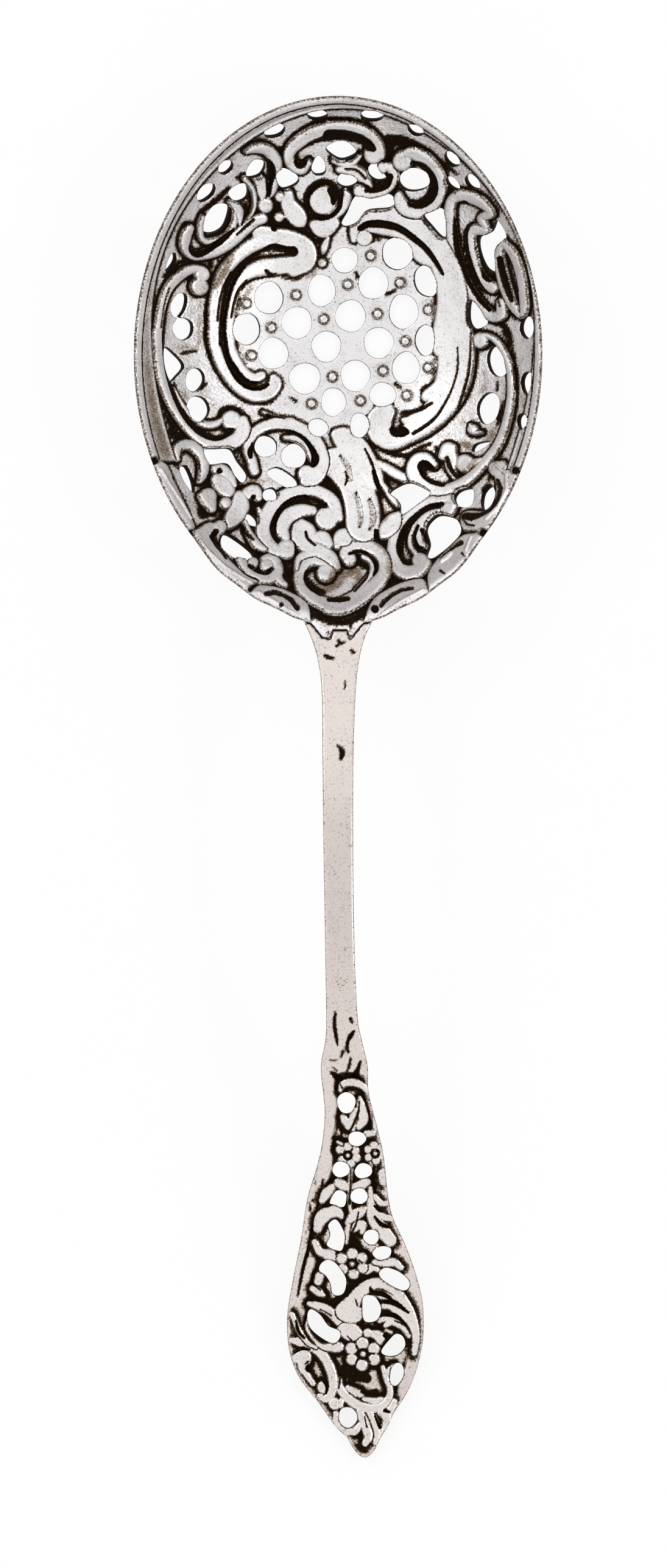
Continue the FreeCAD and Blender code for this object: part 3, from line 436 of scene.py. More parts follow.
end_free_shares = [
    [(-0.38, 0.262), (-0.28, 0.32), (-0.15, 0.305), (-0.16, 0.25), (-0.22, 0.238), (-0.3, 0.25)],
    [(-0.4, 0.15), (-0.3, 0.178), (-0.21, 0.14), (-0.165, 0.09), (-0.2, 0.03), (-0.27, 0.023), (-0.42, 0.05),
     (-0.37, 0.1)],
    [(-0.53, -0.075), (-0.5, -0.04), (-0.4, -0.023), (-0.28, -0.045), (-0.15, -0.115), (-0.17, -0.18),
     (-0.25, -0.2), (-0.34, -0.19), (-0.37, -0.14), (-0.44, -0.1)],
    [(0.33, -0.085), (0.42, -0.062), (0.6, -0.08), (0.74, -0.12), (0.76, -0.155), (0.68, -0.175),
     (0.5, -0.15), (0.36, -0.115)],
    [(-0.7, -0.3), (-0.65, -0.268), (-0.52, -0.295), (-0.4, -0.35), (-0.25, -0.375), (-0.235, -0.41),
     (-0.33, -0.437), (-0.5, -0.41), (-0.66, -0.36)],
    [(0.1, -0.21), (0.22, -0.2), (0.3, -0.22), (0.355, -0.27), (0.3, -0.32), (0.17, -0.333), (0.1, -0.31)],
    [(0.36, -0.475), (0.5, -0.41), (0.58, -0.39), (0.67, -0.405), (0.7, -0.45), (0.6, -0.492), (0.45, -0.5)],
]

# Handle in side view: distance from the shoulders as a share of the handle, underside's height as a share of
# the heel's.
arch_shares = [
    (-0.08, 0.82), (0, 0.951), (0.06, 1.027), (0.19, 1.172), (0.276, 1.2), (0.4, 1.135), (0.545, 0.868),
    (0.69, 0.493), (0.82, 0.171), (0.903, 0.034), (0.951, 0), (1.006, 0),
]
# Lap under the heel: its two corners, and how much longer than the end plate's outline the stem's foot is.
lap_shares = (0.7, -0.7)
stem_foot_share = 0.053

# Ornament of the bowl, piece by piece. The name of a crop stands before the strokes that were read in it. A
# stroke is its kind and points: crop pixels across and down, and the width (of a knob, berry, pit or ring the
# radius) in millimetres. Bodies, knobs and berries stand up, and the other kinds are chased into them.
border_rows = {
    "border_left_upper": [
        "low_left",
        ("groove", (225, 190, 0.35), (280, 260, 0.35), (330, 330, 0.3)),
        ("groove", (350, 390, 1), (345, 420, 0.8)),
        ("ridge", (130, 130, 0.5), (220, 280, 0.5), (300, 400, 0.5), (360, 500, 0.5)),
        ("ridge", (230, 130, 0.4), (310, 290, 0.4), (380, 420, 0.4)),
    ],
    "border_left_lower": [
        "low_left",
        ("groove", (545, 600, 0.9), (520, 640, 0.9), (560, 700, 1), (600, 750, 0.8), (625, 800, 0.4)),
        ("ridge", (410, 650, 0.5), (500, 760, 0.5), (620, 870, 0.5), (760, 960, 0.5), (850, 1000, 0.5)),
        ("knob", (580, 560, 1.2)),
        ("line", (650, 760, 0.5), (710, 820, 0.6), (760, 850, 0.5)),
    ],
    "border_left_heel": [
        "low_left",
        ("line", (930, 1075, 0.9), (990, 1060, 0.9), (1060, 1080, 0.7), (1120, 1120, 0.8), (1170, 1180, 0.8)),
        ("ridge", (870, 1060, 0.5), (960, 1110, 0.5), (1080, 1180, 0.5), (1180, 1230, 0.4)),
        ("pit", (1045, 1155, 0.4)),
    ],
    "border_right_upper": [
        "low_right",
        ("line", (1245, 210, 0.7), (1265, 270, 0.9), (1245, 350, 0.9), (1190, 420, 0.8), (1120, 460, 0.8),
         (1050, 475, 1.4), (1000, 465, 1.2)),
        ("ridge", (1230, 90, 0.5), (1310, 160, 0.6), (1310, 280, 0.6), (1250, 400, 0.6), (1160, 490, 0.6)),
        ("ridge", (1000, 400, 0.5), (950, 440, 0.6), (950, 500, 0.6), (1010, 560, 0.6), (1090, 580, 0.5)),
        ("line", (980, 480, 0.3), (1020, 530, 0.3), (1070, 540, 0.3)),
        ("knob", (1235, 120, 1.4)),
    ],
    "border_right_lower": [
        "low_right",
        ("line", (975, 665, 0.9), (930, 690, 0.6), (870, 740, 0.5), (820, 770, 0.4)),
        ("ridge", (900, 740, 0.9), (870, 770, 1), (830, 800, 0.7)),
        ("ridge", (1050, 620, 0.5), (1010, 720, 0.5)),
        ("line", (980, 740, 0.3), (1005, 775, 0.3)),
        ("line", (820, 870, 0.4), (850, 890, 0.4)),
    ],
    "border_right_heel": [
        "low_right",
        ("line", (615, 1000, 0.6), (540, 1010, 0.7), (470, 1045, 0.7), (410, 1095, 0.8), (385, 1125, 0.7)),
        ("pit", (338, 1150, 0.6)),
        ("ridge", (700, 1010, 0.5), (560, 1080, 0.5), (440, 1150, 0.5), (350, 1210, 0.5)),
    ],
}
scroll_rows = {
    "tip_scroll": [
        "top_left",
        ("body", (1085, 400, 1.2), (1040, 440, 1.8), (985, 415, 2), (960, 365, 2), (985, 310, 2.1),
         (1050, 260, 2.4), (1130, 225, 2.6), (1220, 210, 2.8)),
        "top_right",
        ("body", (0, 205, 2.8), (90, 205, 2.9), (190, 225, 2.9), (260, 265, 2.6), (310, 315, 1.8),
         (320, 360, 1.4)),
        ("knob", (272, 348, 1.7)),
        "top_left",
        ("groove", (1030, 390, 2.08), (1055, 345, 1.95), (1110, 300, 1.95), (1200, 265, 2.21)),
        "top_right",
        ("groove", (0, 235, 2.08), (90, 235, 1.95), (180, 258, 1.95), (240, 290, 1.69), (272, 312, 0.91)),
    ],
    "top_right_scroll": [
        "top_right",
        ("knob", (448, 392, 1.7)),
        ("body", (440, 365, 1.2), (500, 345, 2), (570, 375, 2.4), (625, 430, 2.6), (662, 500, 2.8),
         (665, 580, 2.8), (625, 650, 2.8), (550, 690, 2.7), (470, 680, 2.4), (430, 630, 2.2),
         (425, 590, 1.2)),
        ("groove", (515, 405, 0.92), (570, 420, 1.26), (625, 480, 1.49), (645, 550, 1.49), (620, 610, 1.61),
         (560, 640, 1.72), (505, 635, 1.49)),
    ],
    "top_small_curl": [
        "top_right",
        ("body", (165, 565, 1), (215, 585, 1.6), (290, 578, 1.9), (360, 545, 1.9), (392, 490, 1.9),
         (385, 440, 1.8), (350, 425, 1.5)),
        ("knob", (325, 432, 1)),
        ("knob", (185, 568, 1.1)),
        ("groove", (375, 480, 1.08), (350, 528, 1.2), (290, 555, 0.96), (225, 565, 0.48)),
        ("body", (60, 440, 1.3), (130, 440, 2.1), (190, 470, 2.3), (230, 510, 1.5), (262, 540, 0.5)),
        ("line", (100, 432, 0.4), (170, 440, 0.4), (225, 490, 0.4)),
        ("line", (195, 520, 0.5), (240, 542, 0.5)),
        ("body", (30, 385, 1.2), (90, 410, 1.2), (150, 400, 1), (190, 360, 0.8)),
    ],
    "upper_left_scroll": [
        "top_left",
        ("body", (700, 340, 0.8), (760, 320, 1.6), (830, 330, 2), (880, 390, 2.3), (880, 470, 1.8),
         (860, 560, 1.6), (830, 610, 0.9)),
        ("groove", (780, 385, 0.62), (830, 400, 1.25), (850, 450, 1.5), (838, 520, 1.12), (835, 590, 0.62)),
        ("body", (740, 480, 0.8), (790, 520, 2.2), (800, 575, 2), (795, 620, 0.8)),
        ("line", (820, 470, 0.4), (832, 540, 0.4), (825, 600, 0.4)),
        ("knob", (818, 655, 1.35)),
        ("body", (800, 735, 1.9), (750, 755, 2), (690, 800, 2.2), (600, 880, 2.2), (510, 935, 2),
         (430, 962, 1.7), (370, 960, 1.7), (330, 915, 1.8), (335, 850, 1.8), (360, 800, 1.4)),
        ("body", (630, 690, 0.7), (625, 770, 1.1), (570, 850, 1.3), (480, 880, 1.3), (430, 860, 1.1),
         (420, 790, 1.1), (435, 730, 0.8)),
        ("groove", (620, 800, 0.5), (540, 870, 1), (450, 925, 1.25), (400, 945, 1.5), (372, 925, 1.62),
         (372, 895, 1.12)),
        ("line", (740, 740, 0.5), (700, 775, 0.5), (640, 830, 0.4)),
        ("body", (600, 640, 0.8), (650, 680, 1.8), (660, 740, 1.3), (665, 790, 0.5)),
        ("line", (700, 660, 0.5), (690, 720, 0.5), (670, 770, 0.4)),
        ("body", (690, 500, 1), (740, 560, 1), (752, 640, 0.9), (735, 700, 0.7), (690, 760, 0.4)),
    ],
    "left_rim_scroll": [
        "top_left",
        ("knob", (415, 1150, 1.55)),
        ("knob", (430, 1075, 1.35)),
        ("body", (430, 1050, 1.6), (380, 1045, 1.6), (320, 1070, 1.7), (255, 1130, 1.7), (210, 1210, 1.6),
         (180, 1330, 1.6), (165, 1480, 1.6)),
        "mid_left",
        ("body", (192, 0, 1.7), (192, 110, 1.7), (205, 240, 1.7), (235, 370, 1.8), (290, 500, 1.9),
         (360, 610, 2), (440, 700, 2.2), (540, 775, 2.4), (650, 795, 2.4), (750, 760, 2.6), (800, 690, 2.6),
         (800, 620, 1.8)),
        ("knob", (715, 620, 1.7)),
        "top_left",
        ("groove", (330, 1120, 1), (270, 1180, 1.2), (225, 1270, 0.9), (200, 1370, 0.7), (192, 1480, 0.6)),
        "mid_left",
        ("groove", (222, 0, 0.5), (226, 130, 0.5), (245, 280, 0.6), (285, 420, 0.7), (350, 560, 0.9),
         (430, 660, 1.2), (520, 720, 1.6), (610, 735, 1.7), (690, 705, 1.2), (725, 690, 0.5)),
        ("body", (300, 400, 0.6), (350, 500, 0.9), (420, 590, 1.2), (520, 650, 1.4), (600, 650, 1.4),
         (640, 620, 0.9)),
        ("line", (200, 430, 0.3), (250, 560, 0.35), (330, 660, 0.3)),
        "top_left",
        ("line", (225, 1160, 0.25), (195, 1260, 0.25), (175, 1400, 0.25)),
    ],
    "left_main_scroll": [
        "top_left",
        ("body", (790, 830, 3.2), (880, 850, 3.6), (970, 870, 3.8), (1050, 920, 4.2), (1060, 990, 3.6),
         (990, 1040, 2.6)),
        ("knob", (820, 860, 1.7)),
        ("knob", (930, 860, 1.6)),
        ("body", (990, 1010, 3), (890, 1020, 3), (800, 1030, 3), (720, 1060, 2.4), (660, 1110, 1.9),
         (625, 1190, 1.8), (605, 1290, 1.8), (600, 1400, 1.9), (600, 1490, 2)),
        ("body", (790, 870, 2.6), (700, 920, 2.4), (620, 990, 2.2), (560, 1070, 2.2), (525, 1170, 2.2),
         (505, 1290, 2.2), (505, 1400, 2.2), (510, 1490, 2.2)),
        "mid_left",
        ("body", (585, 0, 2.2), (600, 100, 2.2), (640, 210, 2.2), (700, 310, 2.2), (780, 390, 2.3),
         (880, 440, 2.4), (980, 420, 2.6), (1030, 360, 2.4), (1020, 320, 1.6)),
        ("body", (690, 0, 1.9), (710, 100, 1.9), (750, 200, 2), (810, 280, 1.9), (880, 320, 1.8),
         (930, 300, 1.7)),
        "top_left",
        ("groove", (985, 930, 1.71), (940, 925, 1.52), (860, 905, 1.14), (790, 935, 0.76), (720, 985, 0.76),
         (650, 1060, 0.85), (605, 1140, 0.95), (575, 1240, 1.04), (555, 1350, 1.14), (550, 1490, 1.23)),
        "mid_left",
        ("groove", (645, 0, 1.23), (660, 90, 1.14), (680, 170, 1.04), (715, 240, 1.33), (770, 320, 1.52),
         (840, 370, 1.52), (920, 375, 1.42), (975, 365, 0.57)),
        "top_left",
        ("line", (605, 1060, 0.5), (565, 1140, 0.6), (535, 1240, 0.5), (520, 1350, 0.35)),
        ("line", (700, 1110, 0.5), (650, 1170, 0.6), (622, 1250, 0.5), (605, 1330, 0.35)),
        ("line", (820, 1048, 0.6), (850, 1075, 0.7), (880, 1065, 0.3)),
        ("pit", (868, 790, 0.5), (900, 795, 0.5), (935, 790, 0.5)),
    ],
    "right_main_scroll": [
        "top_right",
        ("knob", (215, 850, 1.45)),
        ("body", (150, 860, 1.2), (160, 790, 2), (220, 725, 2.4), (320, 705, 2.6), (430, 725, 3.2),
         (530, 770, 4.2), (610, 850, 4.6), (680, 960, 4.8), (730, 1080, 5), (755, 1200, 5.4),
         (750, 1320, 5.6), (735, 1420, 5.8), (725, 1490, 5.8)),
        ("body", (250, 790, 1.6), (330, 790, 2.6), (430, 820, 2.2), (500, 880, 2.4), (560, 960, 2.4),
         (620, 1010, 1.2)),
        "mid_right",
        ("body", (860, 0, 6.6), (880, 100, 6.4), (880, 220, 6.2), (860, 330, 6), (810, 450, 5.4),
         (730, 560, 4.6), (640, 640, 4), (540, 700, 3.4), (440, 740, 3.4), (360, 690, 4.2), (350, 600, 4.4),
         (390, 540, 3.4)),
        ("body", (880, 60, 3), (800, 60, 2.4), (760, 70, 1.4)),
        ("body", (830, 300, 3), (760, 380, 2.6), (690, 430, 2.3), (670, 440, 1.6)),
        ("body", (760, 500, 2), (660, 560, 2), (560, 605, 1.9), (520, 600, 1.2)),
        "top_right",
        ("groove", (190, 790, 0.9), (240, 765, 1.1), (330, 765, 1.2), (430, 790, 1.1), (520, 850, 1),
         (600, 920, 0.9), (660, 1000, 0.7), (700, 1070, 0.4)),
        "mid_right",
        ("groove", (470, 672, 2.2), (510, 682, 1.8), (540, 685, 1)),
        ("line", (590, 695, 0.6), (680, 640, 0.6), (750, 580, 0.5), (810, 490, 0.4), (860, 390, 0.3),
         (900, 250, 0.3), (900, 100, 0.2)),
        ("line", (760, 710, 0.2), (830, 640, 0.3), (900, 520, 0.4), (950, 380, 0.45), (980, 250, 0.45),
         (990, 100, 0.3), (990, 0, 0.2)),
        ("line", (500, 575, 0.6), (560, 545, 0.8), (650, 520, 0.8), (720, 485, 0.4)),
    ],
    "right_upper_scroll": [
        "top_right",
        ("body", (985, 700, 1.2), (930, 650, 1.8), (860, 615, 2), (790, 605, 2), (745, 640, 1.9),
         (735, 720, 1.9), (745, 820, 1.9), (765, 930, 1.9), (800, 1050, 1.8), (850, 1160, 1.8),
         (920, 1260, 1.8), (990, 1330, 1.9), (1050, 1320, 2), (1050, 1250, 1.7)),
        ("body", (960, 820, 1.4), (890, 810, 2), (860, 850, 1.9), (870, 940, 1.8), (900, 1050, 1.8),
         (950, 1130, 2), (1000, 1160, 2)),
        ("body", (985, 720, 1.6), (930, 740, 1.6), (955, 790, 1.2)),
        ("groove", (830, 655, 1.35), (800, 700, 1.5), (790, 800, 1.5), (800, 920, 1.5), (840, 1040, 1.5),
         (890, 1150, 1.35), (950, 1240, 1.2), (985, 1290, 0.6)),
        ("groove", (880, 700, 1.2), (850, 760, 1.35), (830, 830, 1.35), (840, 930, 1.2), (880, 1060, 1.2),
         (930, 1160, 1.2), (985, 1230, 1.2), (1000, 1270, 0.6)),
        ("groove", (940, 1040, 0.75), (965, 1085, 1.2), (985, 1110, 0.75)),
        ("line", (1035, 1230, 0.3), (1050, 1270, 0.3)),
    ],
    "right_rim_leaf": [
        "top_right",
        ("body", (1060, 880, 1), (1035, 960, 1.8), (1050, 1060, 2), (1080, 1170, 2), (1120, 1270, 1.6),
         (1160, 1330, 1)),
        ("body", (1070, 900, 1.2), (1120, 960, 1.5), (1160, 1060, 1.6), (1180, 1170, 1.6), (1190, 1290, 1.4),
         (1175, 1340, 0.9)),
        ("groove", (1048, 985, 0.9), (1065, 1070, 1), (1095, 1170, 0.9), (1120, 1240, 0.5)),
        ("groove", (1105, 1040, 0.7), (1125, 1110, 1), (1150, 1180, 0.7)),
        ("pit", (1130, 1150, 0.5)),
    ],
    "right_long_scroll": [
        "mid_right",
        ("knob", (1052, 55, 1.4)),
        ("body", (1030, 30, 0.8), (1090, 20, 1), (1160, 60, 1.1), (1215, 140, 1.2), (1255, 260, 1.3),
         (1265, 400, 1.3), (1250, 540, 1.4), (1215, 680, 1.5), (1160, 800, 1.6), (1080, 900, 1.7)),
        "low_right",
        ("body", (1150, 60, 1.6), (1060, 160, 1.7), (960, 230, 1.9), (850, 270, 2.1), (750, 260, 2.4),
         (660, 210, 2.6), (625, 130, 2.8), (650, 60, 2.8), (710, 40, 2.4), (770, 80, 1.6)),
        "mid_right",
        ("body", (790, 850, 1.6), (820, 800, 2.2), (850, 800, 2)),
        ("body", (830, 790, 1.6), (850, 860, 2.4), (850, 930, 2), (870, 1000, 1)),
        ("knob", (945, 905, 1.6)),
        ("body", (960, 920, 2), (1010, 900, 1.4), (1060, 880, 0.8)),
        "low_right",
        ("groove", (705, 100, 2.2), (735, 140, 2.6), (780, 190, 2), (840, 225, 1.2)),
        "mid_right",
        ("line", (825, 870, 0.8), (850, 940, 0.8), (890, 1000, 0.6)),
        ("line", (1230, 30, 0.4), (1265, 150, 0.5), (1290, 280, 0.5), (1295, 400, 0.3)),
        ("knob", (1000, 670, 0.95)),
        ("body", (985, 640, 0.8), (1010, 690, 1), (1060, 690, 0.7)),
    ],
    "centre_bud": [
        "top_left",
        ("knob", (1170, 622, 2.45)),
        ("knob", (900, 725, 0.9)),
        ("body", (930, 720, 0.8), (990, 710, 1.2)),
        ("body", (960, 590, 1.8), (960, 650, 2.8), (1010, 720, 3.4), (1040, 760, 1.6)),
        ("body", (1110, 770, 1.6), (1170, 790, 3.4), (1230, 760, 2.4)),
        ("knob", (905, 605, 0.9)),
        "top_right",
        ("body", (0, 730, 1.8), (70, 680, 1.8), (110, 610, 1.6), (100, 570, 0.8)),
        "top_left",
        ("groove", (1276, 600, 0.8), (1235, 535, 0.8), (1165, 515, 1.1), (1095, 555, 1.2), (1065, 625, 1.1),
         (1095, 700, 1.1), (1160, 728, 0.8), (1225, 710, 0.7), (1270, 660, 0.7), (1276, 600, 0.8)),
        ("groove", (1212, 560, 0.9), (1240, 590, 1.5), (1232, 635, 0.7)),
        ("body", (1200, 850, 0.8), (1180, 900, 1.4), (1170, 940, 0.8)),
        ("knob", (1165, 1000, 0.8)),
    ],
    "left_lower_curl": [
        "mid_left",
        ("body", (330, 900, 1.2), (330, 840, 1.7), (370, 800, 1.8), (440, 810, 1.9), (500, 870, 1.9),
         (520, 950, 1.8), (510, 1020, 1.5), (490, 1060, 0.9)),
        ("groove", (400, 860, 0.6), (440, 890, 1), (465, 940, 1), (475, 970, 0.6)),
        ("line", (355, 840, 0.35), (345, 900, 0.35)),
    ],
    "lower_left_flower": [
        "low_left",
        ("berry", (622, 378, 1.05)),
        ("knob", (490, 330, 1.5)),
        ("body", (440, 320, 1.2), (490, 350, 2.6), (520, 420, 1.6)),
        ("body", (560, 200, 2.2), (600, 240, 3.2), (640, 280, 2.6)),
        ("body", (545, 120, 1.6), (600, 130, 2.2), (660, 190, 1.8), (690, 240, 1)),
        ("pit", (570, 138, 0.45)),
        ("body", (730, 330, 2.4), (730, 410, 3.4), (680, 490, 3), (650, 540, 1.6)),
        ("body", (790, 300, 2.2), (840, 290, 2.6), (870, 330, 1.6)),
        ("pit", (830, 335, 0.4)),
        ("body", (770, 520, 0.9), (800, 600, 1.3), (860, 690, 1.6), (920, 730, 1)),
        ("line", (740, 540, 0.7), (780, 610, 0.6), (830, 660, 0.4)),
        ("line", (865, 600, 0.3), (900, 680, 0.3)),
    ],
    "centre_left_scroll": [
        "mid_left",
        ("body", (880, 980, 1.8), (860, 900, 1.8), (830, 820, 1.7), (870, 720, 1.8), (960, 660, 2),
         (1080, 640, 2.2), (1190, 670, 2.4), (1290, 740, 2.6), (1350, 840, 2.6), (1360, 930, 2.8),
         (1310, 1020, 3), (1250, 1050, 2.2)),
        ("knob", (1255, 1000, 1.55)),
        ("groove", (980, 700, 0.4), (1060, 695, 0.6), (1160, 705, 0.5), (1240, 755, 0.6), (1300, 840, 0.9),
         (1315, 900, 1.3), (1300, 935, 1)),
        ("groove", (865, 790, 0.5), (845, 850, 0.9), (848, 885, 0.6)),
        ("body", (1100, 740, 1), (1180, 750, 1.2), (1250, 810, 1.2), (1290, 900, 1)),
        ("body", (940, 560, 0.7), (1050, 600, 0.7), (1160, 610, 0.6)),
        ("line", (975, 590, 1), (1010, 592, 0.5), (1100, 602, 0.3)),
    ],
    "plume": [
        "mid_right",
        ("body", (60, 700, 2.4), (110, 730, 4), (180, 810, 5), (230, 900, 5.2), (270, 1000, 5.4)),
        "low_right",
        ("body", (40, 60, 5), (120, 130, 5.4), (190, 220, 5.6), (230, 330, 5.8), (250, 440, 6),
         (250, 530, 5.6), (270, 590, 3)),
        ("body", (340, 60, 1.2), (400, 90, 1.6), (480, 140, 1.8), (560, 180, 1.6)),
        ("body", (300, 30, 0.8), (340, 110, 0.9), (400, 230, 1.1), (470, 330, 1.4), (500, 380, 0.8)),
        ("body", (510, 450, 1.4), (470, 510, 3.2), (430, 560, 3), (400, 600, 1.6)),
        ("groove", (330, 130, 0.6), (350, 200, 0.8), (385, 300, 0.5)),
        ("groove", (420, 160, 0.6), (480, 210, 0.5)),
        ("fold", (200, 290, 0.8), (225, 380, 1.1), (235, 480, 1), (225, 540, 0.7)),
        ("fold", (300, 340, 0.8), (325, 420, 1.2), (325, 500, 1.2), (300, 560, 0.7)),
        ("groove", (350, 575, 0.7), (350, 620, 0.8)),
        "mid_right",
        ("fold", (80, 850, 0.8), (130, 920, 1.1), (150, 1010, 1)),
        ("line", (250, 800, 0.3), (290, 880, 0.45), (320, 960, 0.4)),
        "low_right",
        ("line", (120, 130, 0.3), (135, 180, 0.5), (120, 230, 0.3)),
    ],
    "lower_mid_scroll": [
        "low_left",
        ("body", (1480, 480, 1.8), (1440, 370, 2.4), (1360, 300, 2.2), (1260, 275, 2.2), (1150, 290, 2.2),
         (1050, 330, 2.4), (970, 410, 2.6), (920, 510, 2.6), (910, 610, 2.6), (950, 690, 2.4),
         (1020, 740, 2.2), (1090, 740, 1.6)),
        ("knob", (1390, 490, 2)),
        ("knob", (1085, 725, 1.7)),
        ("body", (1280, 430, 1.8), (1190, 430, 2.4), (1090, 480, 2.8), (1050, 560, 2.6), (1080, 640, 1.6)),
        ("groove", (1375, 395, 1), (1320, 365, 1.2), (1230, 345, 1.3), (1140, 355, 1.1), (1060, 405, 0.9),
         (1000, 490, 0.9), (980, 580, 1.1), (1010, 650, 0.8)),
        ("groove", (1300, 560, 0.7), (1240, 500, 0.7), (1180, 510, 0.7), (1140, 550, 0.8), (1135, 610, 0.7),
         (1160, 700, 0.7), (1155, 770, 0.4)),
        ("body", (870, 420, 0.8), (900, 480, 1.3), (880, 560, 1.2), (880, 620, 0.8)),
    ],
    "heel_leaf_scroll": [
        "low_left",
        ("body", (1180, 560, 2.4), (1190, 630, 3.2), (1250, 700, 3), (1340, 740, 2.6), (1420, 790, 2.4),
         (1470, 860, 1.4)),
        ("body", (1200, 530, 1.8), (1260, 580, 2.2), (1280, 650, 1.6)),
        ("body", (1290, 640, 1.6), (1360, 640, 2.6), (1410, 690, 1.6)),
        ("body", (1160, 880, 0.9), (1180, 800, 1.4), (1250, 760, 1.8), (1330, 760, 1.2)),
        "low_right",
        ("knob", (110, 620, 1.6)),
        ("body", (60, 680, 1.4), (90, 610, 2.6), (170, 600, 2), (200, 640, 0.8)),
        "low_left",
        ("line", (1230, 600, 0.5), (1245, 650, 0.5), (1300, 700, 0.4)),
    ],
    "heel_cartouche": [
        "low_left",
        ("body", (1420, 900, 1.8), (1410, 850, 2.2), (1350, 810, 2.2), (1270, 810, 2), (1210, 860, 2),
         (1180, 940, 2), (1200, 1020, 2), (1270, 1090, 2.1), (1370, 1140, 2.3), (1470, 1160, 2.6)),
        ("knob", (1385, 900, 1.6)),
        "low_right",
        ("body", (0, 1130, 2.6), (100, 1120, 3), (220, 1060, 3), (330, 980, 2.6), (400, 890, 2.4),
         (410, 800, 2.4), (360, 720, 2.4), (270, 680, 2.4), (180, 680, 2.4), (120, 730, 2.2),
         (130, 780, 1.4)),
        ("knob", (150, 775, 1.2)),
        ("body", (250, 760, 0.9), (310, 800, 1.1), (320, 870, 1.2), (270, 940, 1.2), (200, 1010, 1)),
        "low_left",
        ("groove", (1310, 870, 0.8), (1250, 890, 0.6), (1230, 950, 0.7), (1260, 1020, 0.6),
         (1340, 1080, 0.5)),
        "low_right",
        ("groove", (150, 745, 0.4), (210, 725, 0.6), (280, 740, 0.5), (340, 800, 0.8), (350, 860, 0.6),
         (330, 900, 0.3)),
        ("groove", (0, 1085, 0.8), (80, 1085, 1), (140, 1080, 0.7)),
        ("line", (190, 1020, 0.5), (270, 930, 0.5), (290, 880, 0.4)),
    ],
    "right_lower_scroll": [
        "low_right",
        ("body", (900, 420, 1.4), (915, 360, 1.8), (870, 330, 2), (780, 345, 2.2), (680, 400, 2.2),
         (590, 470, 2.2), (520, 550, 2.2), (480, 650, 2.2), (475, 750, 2.4), (510, 840, 2.6), (580, 880, 2.6),
         (660, 860, 2.4), (710, 810, 2)),
        ("knob", (880, 405, 1.3)),
        ("knob", (670, 790, 1.4)),
        ("body", (820, 420, 0.8), (740, 450, 1.6), (680, 510, 2), (650, 590, 1.9), (670, 660, 1.6),
         (710, 680, 0.9)),
        ("body", (640, 500, 0.7), (600, 590, 0.9), (600, 680, 1), (640, 740, 1)),
        ("groove", (840, 380, 0.7), (760, 395, 0.9), (680, 440, 0.9), (600, 520, 1.2), (550, 620, 1.6),
         (540, 710, 1.8), (570, 790, 1.6)),
        ("groove", (660, 540, 0.5), (630, 620, 0.7), (650, 690, 0.9), (690, 710, 0.7)),
        ("groove", (690, 570, 0.7), (700, 600, 0.6)),
        ("line", (545, 650, 0.3), (560, 740, 0.3)),
        ("body", (800, 450, 0.6), (740, 510, 0.7), (700, 540, 0.4)),
    ],
    "left_small_scroll": [
        "low_left",
        ("body", (740, 800, 1.6), (780, 880, 1.6), (860, 940, 1.8), (950, 950, 2), (1020, 900, 2),
         (1010, 830, 1.8), (960, 790, 1.6), (910, 800, 1.2)),
        ("knob", (935, 845, 1.15)),
        ("knob", (830, 830, 1)),
        ("groove", (800, 860, 0.7), (860, 895, 0.9), (930, 910, 0.9), (975, 880, 0.6)),
        ("body", (1020, 900, 1.6), (1030, 960, 1.6), (1080, 1000, 1)),
    ],
}

